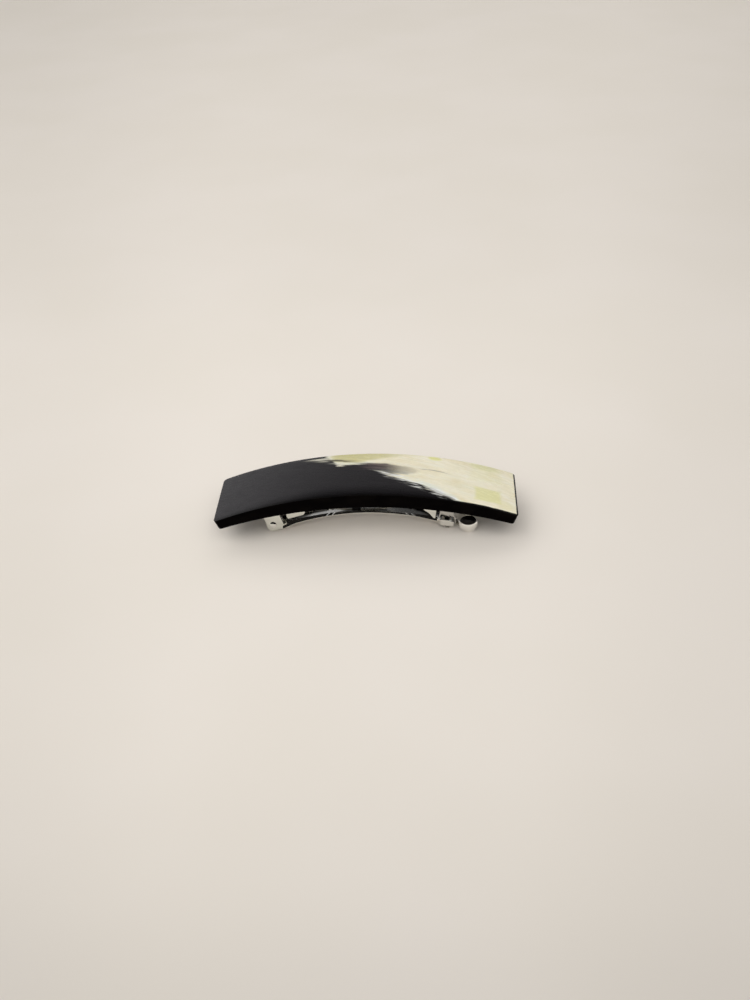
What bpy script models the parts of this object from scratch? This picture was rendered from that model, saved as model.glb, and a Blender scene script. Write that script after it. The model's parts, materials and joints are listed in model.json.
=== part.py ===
"""Curved horn barrette on a sprung steel clip.

An arched horn plate is bonded to a thin steel base strip.  The strip carries
two bent ears with a hinge pin at one end and a catch with two round finger
pads at the other.  A channel-shaped clasp arm is pinned between the ears and
reaches the catch; a bowed leaf spring lies between the strip and the arm.

X runs along the barrette (hinge end at -X, catch end at +X), Y across it
(front at -Y, back at +Y) and Z up.  The finger pads stand on the plane z = 0.
Dimensions are millimetres, and heights are measured from the crown of the
plate's top face; place() lifts them to the ground and turns them into metres.
"""
import math

import bmesh
import bpy
from mathutils import Euler, Matrix, Vector

MM = 0.001
CROWN_HEIGHT = 20.81      # crown of the plate above the ground plane
SIDES = ((-1.0, "front"), (1.0, "back"))
ALONG_Y = (0, 1, 0)
ROUND_SEGMENTS = 24       # facets round pins, rivets and bores
PAD_SEGMENTS = 28

# horn plate
PLATE_HALF_LENGTH = 51.0
PLATE_HALF_WIDTH = 12.4
PLATE_TOP_RADIUS = 138.24
PLATE_UNDER_RADIUS = 155.28
PLATE_MID_THICKNESS = 4.91
PLATE_CORNER_RADIUS = 1.3
PLATE_EDGE_BEVEL = 0.75

# base strip
STRIP_RADIUS = 82.0       # mid surface
STRIP_TOP = -5.55         # mid surface at the centre
STRIP_THICKNESS = 0.6
STRIP_HALF_WIDTH = 4.5
STRIP_HALF_LENGTH = 38.6  # along X
STRIP_CORNER_RADIUS = 3.4
END_HOLE_RADIUS = 1.25
END_HOLE_X = 36.3

# ears and hinge
PIN_X = -32.4
PIN_Z = -17.55
PIN_RADIUS = 0.75
PIN_HOLE_RADIUS = 0.85
PIN_BORE_DEPTH = 12.0     # clears both ears
PIN_HEAD_RADIUS = 1.25
EAR_OUTER = 4.48
EAR_THICKNESS = 0.6

# clasp arm
ARM_RADIUS = 75.0         # underside of the web
ARM_LOW = -14.88          # underside of the web at its crown
ARM_CROWN_X = -0.5
ARM_THICKNESS = 0.5
ARM_BEND = 0.45           # size of the bend between web and wall
ARM_BEND_INSET = 0.13     # middle of the bend, in from its outer corner
ARM_HALF_WIDTH = 2.75     # outer faces of the side walls, middle stretch
ARM_HINGE_HALF_WIDTH = 3.55
ARM_END_HALF_WIDTH = 4.5
ARM_WIDEN_START = -20.0   # widens from here towards the hinge
ARM_WIDEN_END = -27.0
ARM_FLARE_START = 24.1
ARM_FLARE_END = 25.3
ARM_WEB_START = -30.4
ARM_END = 29.6
WINDOW_START = 25.6
WINDOW_END = 28.9
WINDOW_HALF_WIDTH = 3.7
WINDOW_BEND_MARGIN = 0.2  # least web beside the window line before the flare
LOBE_RADIUS = 2.2         # rounded wall ends about the pin
LOBE_BLEND_START = -31.5  # the lobe's height fades into the wall's height
LOBE_BLEND_END = -29.0
ARM_LEAN = 0.5            # inward lean of the side walls, as a slope
LEAN_IN = (-30.6, -29.2)  # x where the lean grows from none to full
LEAN_OUT = (24.9, 23.9)   # x where it has gone, x where it is still full
TAIL_TAPER_START = 28.0   # wall tops drop from here to the free end
TAIL_TAPER_SLOPE = 0.25

# slots in the arm's side walls
SLOT_SIZE = (0.34, 9.0, 3.0)
SLOT_LIFT = 0.75          # foot of the slot above the web's underside
SLOTS = ((-14.0, 48.0), (-12.0, 48.0), (14.3, -48.0), (16.3, -48.0))  # x, lean in degrees

# leaf spring
LEAF_THICKNESS = 0.35
LEAF_HALF_WIDTH = 1.5
LEAF_LEFT = -27.0
LEAF_RIGHT = 23.2
LEAF_GAP = 0.25
LEAF_SPANS = 24
LEAF_BOW_LENGTH = 0.86    # share of each half that is bowed; the tip is straight
LEAF_BOW_RISE = 0.93      # share of the rise reached by the bowed part

# catch
CATCH_START = 24.3
CATCH_END = 31.9
CATCH_SPANS = 6
CATCH_PLATE_THICKNESS = 0.4
CATCH_PLATE_GAP = 0.05    # between the strip and the catch plate
CATCH_TAPER_LENGTH = 1.0
CATCH_TAPER = 0.9         # half width lost over the taper
CATCH_WALL_OUTER = 3.3
CATCH_WALL_THICKNESS = 0.5
CATCH_WALL_GAP = 0.3      # between the catch plate and the upright walls
HOOK_INSET = 0.2          # bite of the hook into the wall
HOOK_REACH = 0.78         # outward reach of the hook
PAD_LINK_THICKNESS = 1.75
PAD_LINK_Z = -18.25
PAD_CENTRE = (34.6, 5.6, -17.7)
PAD_RADIUS = 3.1
PAD_TILT = math.radians(18.5)
RIVET_X = 27.6
RIVET_RADIUS = 0.9
RIVET_CLEARANCE = 0.07
RIVET_HEAD_RADIUS = 1.5
RIVET_HEAD_GAP = 0.03

# bonding pad
BOND_HALF_LENGTH = 13.0
BOND_HALF_WIDTH = 3.6
BOND_END_NARROWING = 0.35
BOND_CLEARANCE = 0.05

CATCH_PLATE_SHIFT = -STRIP_THICKNESS / 2.0 - CATCH_PLATE_GAP - CATCH_PLATE_THICKNESS / 2.0


# ----------------------------------------------------------- small helpers
def place(x, y, z):
    """Millimetres measured from the plate's crown to world metres."""
    return Vector((x, y, z + CROWN_HEIGHT)) * MM


def clamp(t):
    return max(0.0, min(1.0, t))


def ease(x, start, end):
    """0 at start, 1 at end, with a soft step between them."""
    t = clamp((x - start) / (end - start))
    return t * t * (3.0 - 2.0 * t)


def table(x, points):
    """Straight-line lookup in a short list of (x, value) pairs."""
    if x <= points[0][0]:
        return points[0][1]
    for (x0, value0), (x1, value1) in zip(points, points[1:]):
        if x <= x1:
            return value0 + (value1 - value0) * (x - x0) / (x1 - x0)
    return points[-1][1]


def even_stations(start, end, spans):
    return [start + (end - start) * k / spans for k in range(spans + 1)]


def rounded_stations(half_length, corner_radius, corner_steps, spans):
    """Stations along a rounded-corner piece, closer together at its ends."""
    inner = half_length - corner_radius
    corner = [inner + corner_radius * math.sin(math.radians(90.0 * k / corner_steps))
              for k in range(1, corner_steps + 1)]
    straight = [inner * (k / spans * 2.0 - 1.0) for k in range(spans + 1)]
    return [-x for x in reversed(corner)] + straight + corner


def rounded_half_width(x, half_length, half_width, corner_radius):
    into_corner = abs(x) - (half_length - corner_radius)
    if into_corner <= 0.0:
        return half_width
    drop = math.sqrt(max(corner_radius ** 2 - into_corner ** 2, 0.0))
    return half_width - corner_radius + drop


def turn_from_z(direction):
    return Vector((0, 0, 1)).rotation_difference(Vector(direction))


# --------------------------------------------------------- shared builders
def material(name, colour, roughness, metallic):
    mat = bpy.data.materials.new(name)
    mat.use_nodes = True
    shader = mat.node_tree.nodes["Principled BSDF"]
    shader.inputs["Base Color"].default_value = (*colour, 1.0)
    shader.inputs["Roughness"].default_value = roughness
    shader.inputs["Metallic"].default_value = metallic
    mat.diffuse_color = (*colour, 1.0)
    return mat


def add(name, mesh, mat):
    """Link a mesh: a piece if it has a material, otherwise a boolean helper."""
    obj = bpy.data.objects.new(name, mesh)
    if mat is None:
        cutters.objects.link(obj)
        obj.hide_render = True
        obj.display_type = "WIRE"
    else:
        parts.objects.link(obj)
        mesh.materials.append(mat)
    return obj


def add_bmesh(name, bm, mat=None):
    mesh = bpy.data.meshes.new(name)
    bm.to_mesh(mesh)
    bm.free()
    return add(name, mesh, mat)


def combine(target, other, operation, label):
    boolean = target.modifiers.new(label, "BOOLEAN")
    boolean.operation = operation
    boolean.solver = "EXACT"
    boolean.object = other


def drill(target, label, name, radius, depth, centre, direction):
    """Bore a round hole through target with a cylinder."""
    bm = bmesh.new()
    bmesh.ops.create_cone(bm, cap_ends=True, segments=ROUND_SEGMENTS, radius1=radius * MM,
                          radius2=radius * MM, depth=depth * MM)
    matrix = Matrix.Translation(place(*centre)) @ turn_from_z(direction).to_matrix().to_4x4()
    bmesh.ops.transform(bm, matrix=matrix, verts=bm.verts)
    combine(target, add_bmesh(name, bm), "DIFFERENCE", label)


def prism(name, outline, thickness, rotation, location, mat=None):
    """Flat outline, filled and given a thickness."""
    curve = bpy.data.curves.new(name + "_outline", "CURVE")
    curve.dimensions = "2D"
    curve.fill_mode = "BOTH"
    curve.extrude = thickness * MM / 2.0
    spline = curve.splines.new("POLY")
    spline.points.add(len(outline) - 1)
    for point, (a, b) in zip(spline.points, outline):
        point.co = (a * MM, b * MM, 0.0, 1.0)
    spline.use_cyclic_u = True

    holder = bpy.data.objects.new(name + "_curve", curve)
    parts.objects.link(holder)
    bpy.context.view_layer.update()
    depsgraph = bpy.context.evaluated_depsgraph_get()
    mesh = bpy.data.meshes.new_from_object(holder.evaluated_get(depsgraph))
    bpy.data.objects.remove(holder, do_unlink=True)

    bm = bmesh.new()
    bm.from_mesh(mesh)
    # weld the caps to the sides
    bmesh.ops.remove_doubles(bm, verts=bm.verts, dist=1e-7)
    matrix = Matrix.Translation(location) @ rotation.to_4x4()
    bmesh.ops.transform(bm, matrix=matrix, verts=bm.verts)
    bmesh.ops.recalc_face_normals(bm, faces=bm.faces)
    bm.to_mesh(mesh)
    bm.free()
    mesh.name = name
    return add(name, mesh, mat)


def wall(name, outline, inner, outer, side, mat=None):
    """Upright sheet: (x, z) outline between two distances from the centre line."""
    standing = Euler((math.radians(90.0), 0.0, 0.0)).to_matrix()
    centre = side * (inner + outer) / 2.0
    return prism(name, outline, outer - inner, standing, place(0.0, centre, 0.0), mat)


def grid_cells(verts, spans_u, spans_v):
    """Column and row of each vertex of a fresh unit grid."""
    return {v: (round((v.co.x + 0.5) * spans_u), round((v.co.y + 0.5) * spans_v))
            for v in verts}


def sheet(name, stations, section, thickness, mat, keep=None):
    """Open grid bent to shape, then thickened about its mid surface.

    section(station) returns the row of points across the piece there;
    keep(i, j) says which grid cells stay.
    """
    rows = [section(station) for station in stations]
    spans_u, spans_v = len(rows) - 1, len(rows[0]) - 1
    bm = bmesh.new()
    bmesh.ops.create_grid(bm, x_segments=spans_u, y_segments=spans_v, size=0.5)
    cells = grid_cells(bm.verts, spans_u, spans_v)
    if keep is not None:
        doomed = [face for face in bm.faces
                  if not keep(min(cells[v][0] for v in face.verts),
                              min(cells[v][1] for v in face.verts))]
        bmesh.ops.delete(bm, geom=doomed, context="FACES")
    for vert in bm.verts:
        i, j = cells[vert]
        vert.co = place(*rows[i][j])
    obj = add_bmesh(name, bm, mat)
    solid = obj.modifiers.new("Thickness", "SOLIDIFY")
    solid.thickness = thickness * MM
    solid.offset = 0.0
    solid.use_even_offset = True
    return obj


def block(name, spans_u, spans_v, point, mat):
    """Closed block between two curved faces.

    point(i, across, under) gives the place of column i, at across from -1 to 1,
    on the top or the under face.
    """
    bm = bmesh.new()
    bmesh.ops.create_grid(bm, x_segments=spans_u, y_segments=spans_v, size=0.5)
    top = grid_cells(list(bm.verts), spans_u, spans_v)
    lifted = bmesh.ops.extrude_face_region(bm, geom=list(bm.faces))
    lifted_verts = [g for g in lifted["geom"] if isinstance(g, bmesh.types.BMVert)]
    bottom = grid_cells(lifted_verts, spans_u, spans_v)
    for cells, under in ((top, False), (bottom, True)):
        for vert, (i, j) in cells.items():
            vert.co = place(*point(i, j / spans_v * 2.0 - 1.0, under))
    bmesh.ops.recalc_face_normals(bm, faces=bm.faces)
    return add_bmesh(name, bm, mat)


def turned(name, profile, centre, direction, steps=ROUND_SEGMENTS, mat=None):
    """Profile of (radius, height) pairs revolved about its axis."""
    bm = bmesh.new()
    verts = [bm.verts.new((radius * MM, 0.0, height * MM)) for radius, height in profile]
    for pair in zip(verts, verts[1:]):
        bm.edges.new(pair)
    obj = add_bmesh(name, bm, mat)
    screw = obj.modifiers.new("Turn", "SCREW")
    screw.axis = "Z"
    screw.steps = steps
    screw.render_steps = steps
    screw.use_merge_vertices = True
    screw.merge_threshold = 0.000005
    screw.use_normal_calculate = True
    obj.location = place(*centre)
    obj.rotation_mode = "QUATERNION"
    obj.rotation_quaternion = turn_from_z(direction)
    return obj


# -------------------------------------------------------------- horn plate
def build_horn_plate():
    """Arched plate between two arcs of different radius, thinner at its ends."""
    # height of the under arc's centre above the top arc's centre
    centre_gap = PLATE_TOP_RADIUS - PLATE_UNDER_RADIUS - PLATE_MID_THICKNESS
    stations = rounded_stations(PLATE_HALF_LENGTH, PLATE_CORNER_RADIUS, corner_steps=4, spans=20)

    def point(i, across, under):
        station = stations[i]
        half_width = rounded_half_width(station, PLATE_HALF_LENGTH, PLATE_HALF_WIDTH,
                                        PLATE_CORNER_RADIUS)
        angle = math.asin(station / PLATE_TOP_RADIUS)
        sine, cosine = math.sin(angle), math.cos(angle)
        radius = PLATE_TOP_RADIUS
        if under:
            radius = (centre_gap * cosine
                      + math.sqrt(PLATE_UNDER_RADIUS ** 2 - (centre_gap * sine) ** 2))
        return radius * sine, across * half_width, radius * cosine - PLATE_TOP_RADIUS

    plate = block("horn_plate", len(stations) - 1, 4, point, horn)
    edge = plate.modifiers.new("Eased edges", "BEVEL")
    edge.width = PLATE_EDGE_BEVEL * MM
    edge.segments = 2
    edge.limit_method = "ANGLE"
    edge.angle_limit = math.radians(50.0)


# -------------------------------------------------------------- base strip
def strip_z(x, shift=0.0):
    """Height of the strip's mid surface, or of one shifted outwards from it."""
    return STRIP_TOP - STRIP_RADIUS + math.sqrt((STRIP_RADIUS + shift) ** 2 - x * x)


def strip_normal(x):
    angle = math.asin(x / STRIP_RADIUS)
    return math.sin(angle), 0.0, math.cos(angle)


def strip_row(x):
    half_width = rounded_half_width(x, STRIP_HALF_LENGTH, STRIP_HALF_WIDTH, STRIP_CORNER_RADIUS)
    return [(x, across * half_width, strip_z(x)) for across in (-1.0, -0.5, 0.0, 0.5, 1.0)]


def on_strip(x):
    """Outline point just above the strip's mid surface, to root a wall in it."""
    return x, strip_z(x) + 0.05


# Outlines of the upright walls under the strip, as (x, z).
EAR_FOOT = [(-32.55 + 2.15 * math.cos(math.radians(205.0 + 95.0 * k / 6)),
             -18.0 + 2.15 * math.sin(math.radians(205.0 + 95.0 * k / 6))) for k in range(7)]
EAR_OUTLINE = (
    [on_strip(-35.5), (-35.4, strip_z(-35.4) - 1.2), (-35.0, -15.3), (-34.6, -18.1)]
    + EAR_FOOT
    + [(-30.1, -19.3), (-28.85, -17.7), (-28.75, -17.2), (-29.75, -13.6), on_strip(-29.9)]
)
HINGE_TAB_OUTLINE = [on_strip(-27.6), (-27.4, -13.9), (-27.0, -14.9), (-21.6, -13.35),
                     (-21.0, -12.6), on_strip(-20.8)]
CATCH_TAB_OUTLINE = [on_strip(19.4), (19.6, -12.2), (21.3, -13.6), (22.75, -15.7),
                     (23.35, -15.9), (23.75, -13.2), on_strip(23.8)]


def drill_strip(target, label, name, radius, depth, x):
    """Bore square to the strip's surface at x."""
    drill(target, label, name, radius, depth, (x, 0, strip_z(x)), strip_normal(x))


def build_base_strip():
    stations = rounded_stations(STRIP_HALF_LENGTH, STRIP_CORNER_RADIUS, corner_steps=5, spans=16)
    strip = sheet("base_strip", stations, strip_row, STRIP_THICKNESS, nickel)
    for side, side_name in SIDES:
        for stem, label, outline in (("ear_", "Ear ", EAR_OUTLINE),
                                     ("hinge_tab_", "hinge_tab_", HINGE_TAB_OUTLINE),
                                     ("catch_tab_", "catch_tab_", CATCH_TAB_OUTLINE)):
            flap = wall(stem + side_name, outline, EAR_OUTER - EAR_THICKNESS, EAR_OUTER, side)
            combine(strip, flap, "UNION", label + side_name)
    drill(strip, "Pin bore", "pin_bore", PIN_HOLE_RADIUS, PIN_BORE_DEPTH,
          (PIN_X, 0, PIN_Z), ALONG_Y)
    for x, end in ((-END_HOLE_X, "hinge"), (END_HOLE_X, "catch")):
        drill_strip(strip, "End hole " + end, "end_hole_" + end, END_HOLE_RADIUS, 4.0, x)
    drill_strip(strip, "Rivet hole", "rivet_hole_strip",
                RIVET_RADIUS + RIVET_CLEARANCE, 3.0, RIVET_X)


# --------------------------------------------------------------- hinge pin
def build_hinge_pin():
    # radius, height beyond the ear's outer face; from the tip of the head inwards
    head = [(0.0, 0.55), (0.55, 0.48), (1.0, 0.28), (PIN_HEAD_RADIUS, 0.06),
            (PIN_HEAD_RADIUS, 0.03), (PIN_RADIUS, 0.03)]
    profile = ([(radius, EAR_OUTER + height) for radius, height in head]
               + [(radius, -EAR_OUTER - height) for radius, height in reversed(head)])
    turned("hinge_pin", profile, (PIN_X, 0.0, PIN_Z), ALONG_Y, mat=nickel)


# --------------------------------------------------------------- clasp arm
def web_arch(x):
    return ARM_LOW - ARM_RADIUS + math.sqrt(ARM_RADIUS ** 2 - (x - ARM_CROWN_X) ** 2)


# x, underside of the web: the heel near the hinge and the tail at the free end
WEB_HEEL = [(-31.4, -20.05), (-30.4, -20.35), (-29.2, -20.40), (-27.0, -19.35), (-25.0, -18.5),
            (-22.5, -17.98), (-20.0, web_arch(-20.0))]
WEB_TAIL = [(17.0, web_arch(17.0)), (20.0, -17.8), (22.0, -18.4), (24.0, -18.95),
            (26.0, -19.35), (28.0, -19.7), (29.6, -19.95)]
# x, height of the side walls above the underside of the web
WALL_HEIGHT = [(-29.0, 3.4), (-26.5, 2.4), (-24.6, 1.9), (-21.0, 1.6), (-16.0, 1.5),
               (-12.0, 1.45), (-7.0, 1.35), (0.0, 1.25), (10.0, 1.15), (16.0, 1.25),
               (20.0, 1.6), (23.0, 1.9), (24.6, 2.1), (25.4, 2.7), (29.6, 2.7)]

ARM_STATIONS = (
    [PIN_X - LOBE_RADIUS * math.cos(math.radians(angle)) for angle in (8, 25, 42, 60, 78)]
    + [PIN_X, -31.4, ARM_WEB_START, -29.2, -28.1, -27.0, -25.8, -24.6, -22.8, -21.0,
       -18.5, -16.0, -14.0, -12.0, -9.5, -7.0, -3.5, 0.0, 3.5, 7.0, 10.0, 13.0, 16.0,
       18.5, 20.0, 22.0, 23.2, ARM_FLARE_START, 24.6, ARM_FLARE_END, WINDOW_START, 27.2,
       WINDOW_END, ARM_END]
)


def web_low(x):
    """Underside of the web, with the heel that drops beneath the hinge."""
    if x < WEB_HEEL[-1][0]:
        return table(x, WEB_HEEL)
    if x > WEB_TAIL[0][0]:
        return table(x, WEB_TAIL)
    return web_arch(x)


def lobe_height(x):
    """Height of the rounded wall end above and below the pin, at x before the pin."""
    return math.sqrt(LOBE_RADIUS ** 2 - (x - PIN_X) ** 2)


def wall_top(x):
    if x < LOBE_BLEND_END:
        lobe_top = PIN_Z + (lobe_height(x) if x < PIN_X else LOBE_RADIUS)
        blend = ease(x, LOBE_BLEND_START, LOBE_BLEND_END)
        return lobe_top * (1.0 - blend) + (web_low(LOBE_BLEND_END) + WALL_HEIGHT[0][1]) * blend
    top = web_low(x) + table(x, WALL_HEIGHT)
    if x > TAIL_TAPER_START:
        top -= TAIL_TAPER_SLOPE * (x - TAIL_TAPER_START)
    return top


def wall_low(x):
    if x < PIN_X:
        return PIN_Z - lobe_height(x)
    if x < ARM_WEB_START:
        return table(x, [(PIN_X, PIN_Z - LOBE_RADIUS), (ARM_WEB_START, web_low(ARM_WEB_START))])
    return web_low(x)


def arm_half_width(x):
    if x < ARM_WIDEN_START:
        widening = ARM_HINGE_HALF_WIDTH - ARM_HALF_WIDTH
        return ARM_HALF_WIDTH + widening * ease(x, ARM_WIDEN_START, ARM_WIDEN_END)
    flare = clamp((x - ARM_FLARE_START) / (ARM_FLARE_END - ARM_FLARE_START))
    return ARM_HALF_WIDTH + (ARM_END_HALF_WIDTH - ARM_HALF_WIDTH) * flare


def arm_row(x):
    """Mid surface of the channel: wall, bend, web, bend, wall."""
    half_sheet = ARM_THICKNESS / 2.0
    width = arm_half_width(x) - half_sheet
    top = wall_top(x)
    low = wall_low(x)
    if x >= ARM_WEB_START:        # before this the bare wall reaches the outline itself
        low += half_sheet
    wall_foot = low + ARM_BEND
    lean = ARM_LEAN * (top - low - ARM_BEND) * ease(x, *LEAN_IN) * ease(x, *LEAN_OUT)
    side = [(width - lean, top),
            (width - lean / 2.0, (top + wall_foot) / 2.0),
            (width, wall_foot),
            (width - ARM_BEND_INSET, low + ARM_BEND_INSET),
            (width - ARM_BEND, low)]
    window_edge = WINDOW_HALF_WIDTH
    if x < ARM_FLARE_END:
        window_edge = min(window_edge, width - ARM_BEND - WINDOW_BEND_MARGIN)
    return ([(x, -y, z) for y, z in side]
            + [(x, y, low) for y in (-window_edge, 0.0, window_edge)]
            + [(x, y, z) for y, z in reversed(side)])


def arm_keep(i, j):
    """No web beside the pin, and an open window near the free end."""
    x = (ARM_STATIONS[i] + ARM_STATIONS[i + 1]) / 2.0
    if x < ARM_WEB_START and 2 <= j <= 9:
        return False
    return not (WINDOW_START < x < WINDOW_END and j in (5, 6))


def cut_slot(arm, number, x, lean):
    """Slanted slot through both side walls, its top leaning towards mid-arm."""
    bm = bmesh.new()
    bmesh.ops.create_cube(bm, size=1.0)
    bmesh.ops.scale(bm, vec=Vector(SLOT_SIZE) * MM, verts=bm.verts)
    foot_to_origin = Matrix.Translation(Vector((0.0, 0.0, SLOT_SIZE[2] / 2.0)) * MM)
    turn = Matrix.Rotation(math.radians(lean), 4, "Y")
    to_arm = Matrix.Translation(place(x, 0.0, web_low(x) + SLOT_LIFT))
    bmesh.ops.transform(bm, matrix=to_arm @ turn @ foot_to_origin, verts=bm.verts)
    slot = add_bmesh("relief_slot_%d" % number, bm)
    combine(arm, slot, "DIFFERENCE", "Relief slot %d" % number)


def build_clasp_arm():
    arm = sheet("clasp_arm", ARM_STATIONS, arm_row, ARM_THICKNESS, nickel, keep=arm_keep)
    drill(arm, "Pin bore", "arm_pin_bore", PIN_HOLE_RADIUS, PIN_BORE_DEPTH,
          (PIN_X, 0, PIN_Z), ALONG_Y)
    for number, (x, lean) in enumerate(SLOTS, start=1):
        cut_slot(arm, number, x, lean)


# ------------------------------------------------------------- leaf spring
def leaf_z(x):
    """Lowest just above the arm's crown, rising to just under the strip."""
    low = ARM_LOW + ARM_THICKNESS + LEAF_GAP + LEAF_THICKNESS / 2.0
    end_x = LEAF_RIGHT if x > 0 else LEAF_LEFT
    end_z = strip_z(end_x, -STRIP_THICKNESS / 2.0) - LEAF_GAP - LEAF_THICKNESS / 2.0
    t = x / end_x
    if t <= LEAF_BOW_LENGTH:
        share = (t / LEAF_BOW_LENGTH) ** 2 * LEAF_BOW_RISE
    else:
        tip = (t - LEAF_BOW_LENGTH) / (1.0 - LEAF_BOW_LENGTH)
        share = LEAF_BOW_RISE + (1.0 - LEAF_BOW_RISE) * tip
    return low + (end_z - low) * share


def leaf_row(x):
    return [(x, y, leaf_z(x)) for y in (-LEAF_HALF_WIDTH, 0.0, LEAF_HALF_WIDTH)]


def build_tension_spring():
    stations = even_stations(LEAF_LEFT, LEAF_RIGHT, LEAF_SPANS)
    sheet("tension_spring", stations, leaf_row, LEAF_THICKNESS, spring_steel)


# ------------------------------------------------------------------- catch
def catch_row(x):
    taper = CATCH_TAPER * ease(x, CATCH_END - CATCH_TAPER_LENGTH, CATCH_END)
    half_width = CATCH_WALL_OUTER - taper
    z = strip_z(x, CATCH_PLATE_SHIFT)
    return [(x, y, z) for y in (-half_width, 0.0, half_width)]


def build_catch_plate():
    """Plate lying against the underside of the strip."""
    stations = even_stations(CATCH_START, CATCH_END, CATCH_SPANS)
    plate = sheet("catch_plate", stations, catch_row, CATCH_PLATE_THICKNESS, spring_steel)
    drill_strip(plate, "Rivet hole", "rivet_hole_plate",
                RIVET_RADIUS + RIVET_CLEARANCE, 3.0, RIVET_X)


def build_catch_rivet():
    """Rivet through the strip and the catch plate."""
    top = STRIP_THICKNESS / 2.0 + RIVET_HEAD_GAP
    low = CATCH_PLATE_SHIFT - CATCH_PLATE_THICKNESS / 2.0 - RIVET_HEAD_GAP
    # radius, height; from the upper head down to the lower one
    profile = [(0.0, top + 0.34), (0.9, top + 0.30), (RIVET_HEAD_RADIUS, top + 0.12),
               (RIVET_HEAD_RADIUS, top), (RIVET_RADIUS, top), (RIVET_RADIUS, low),
               (RIVET_HEAD_RADIUS, low), (RIVET_HEAD_RADIUS, low - 0.12),
               (0.9, low - 0.34), (0.0, low - 0.38)]
    turned("catch_rivet", profile, (RIVET_X, 0.0, strip_z(RIVET_X)), strip_normal(RIVET_X),
           mat=nickel)


def catch_wall_top(x):
    return strip_z(x, CATCH_PLATE_SHIFT - CATCH_PLATE_THICKNESS / 2.0) - CATCH_WALL_GAP


# upright wall and the hook on its outer face, as (x, z)
CATCH_OUTLINE = (
    [(x, catch_wall_top(x)) for x in (25.7, 27.0, 28.3, 29.6)]
    + [(29.75, -15.6), (30.35, -16.9), (30.9, -17.35), (30.9, -19.1), (30.1, -18.9),
       (29.95, -17.3), (29.3, -16.1), (28.35, -16.3), (28.15, -20.25), (27.7, -20.45),
       (26.9, -20.3), (26.55, -19.8), (26.5, -16.2), (25.9, -15.8), (25.15, -16.35),
       (24.6, -16.4)]
)
HOOK_OUTLINE = [(26.6, -19.72), (28.13, -20.12), (28.0, -20.44), (26.8, -20.36)]
# link from the wall to the finger pad in plan, as (x, distance from the centre line)
PAD_LINK_PLAN = [(29.7, 2.86), (29.7, 3.24), (30.3, 3.26), (31.5, 5.1), (32.2, 5.9), (33.6, 6.0),
                 (33.6, 5.35), (32.5, 5.3), (31.9, 4.7), (30.75, 2.86)]
# dished finger pad, as (radius, height along its outward axis)
PAD_PROFILE = [(0.0, 1.02), (0.9, 0.93), (1.8, 0.68), (2.5, 0.28), (2.95, -0.12),
               (PAD_RADIUS, -0.36), (PAD_RADIUS, -0.5), (2.8, -0.5), (2.1, -0.1),
               (1.4, 0.28), (0.7, 0.45), (0.0, 0.5)]


def build_catch_arm(side, side_name):
    """Upright wall with its hook, pad link and finger pad."""
    outer = CATCH_WALL_OUTER
    blade = wall("catch_arm_" + side_name, CATCH_OUTLINE, outer - CATCH_WALL_THICKNESS, outer,
                 side, nickel)
    hook = wall("hook_" + side_name, HOOK_OUTLINE, outer - HOOK_INSET, outer + HOOK_REACH, side)
    combine(blade, hook, "UNION", "Hook")

    plan = [(x, side * y) for x, y in PAD_LINK_PLAN]
    link = prism("pad_link_" + side_name, plan, PAD_LINK_THICKNESS, Matrix.Identity(3),
                 place(0.0, 0.0, PAD_LINK_Z))
    combine(blade, link, "UNION", "Pad link")

    pad_x, pad_y, pad_z = PAD_CENTRE
    outward = (0.0, side * math.cos(PAD_TILT), math.sin(PAD_TILT))
    pad = turned("pad_" + side_name, PAD_PROFILE, (pad_x, side * pad_y, pad_z), outward,
                 steps=PAD_SEGMENTS)
    combine(blade, pad, "UNION", "Finger pad")


# ------------------------------------------------------------- bonding pad
def build_bonding_pad():
    """Filler between the strip and the plate, narrowing to its ends."""
    spans = 12

    def point(i, across, under):
        t = i / spans * 2.0 - 1.0
        x = t * BOND_HALF_LENGTH
        half_width = BOND_HALF_WIDTH * (1.0 - BOND_END_NARROWING * t ** 4)
        if under:
            z = strip_z(x, STRIP_THICKNESS / 2.0) + BOND_CLEARANCE
        else:
            z = (-PLATE_MID_THICKNESS - PLATE_UNDER_RADIUS
                 + math.sqrt(PLATE_UNDER_RADIUS ** 2 - x * x) - BOND_CLEARANCE)
        return x, across * half_width, z

    block("bonding_pad", spans, 2, point, bond)


# ---------------------------------------------------------------- assembly
for old_object in list(bpy.data.objects):
    bpy.data.objects.remove(old_object, do_unlink=True)

parts = bpy.data.collections.new("barrette")
cutters = bpy.data.collections.new("barrette_cutters")
for collection in (parts, cutters):
    bpy.context.scene.collection.children.link(collection)

horn = material("horn", colour=(0.030, 0.026, 0.024), roughness=0.22, metallic=0.0)
nickel = material("nickel_plate", colour=(0.78, 0.77, 0.73), roughness=0.16, metallic=1.0)
spring_steel = material("spring_steel", colour=(0.56, 0.56, 0.54), roughness=0.30, metallic=1.0)
bond = material("bond", colour=(0.035, 0.032, 0.030), roughness=0.45, metallic=0.0)

build_horn_plate()
build_base_strip()
build_hinge_pin()
build_clasp_arm()
build_tension_spring()
build_catch_plate()
build_catch_rivet()
for side_sign, side_label in SIDES:
    build_catch_arm(side_sign, side_label)
build_bonding_pad()

bpy.context.view_layer.update()
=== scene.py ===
"""Looks for the horn barrette: polished horn plate, nickel-plated sprung clip, pale studio table."""
import json
import math

import bmesh
import bpy
from mathutils import Euler, Matrix, Vector

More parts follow.
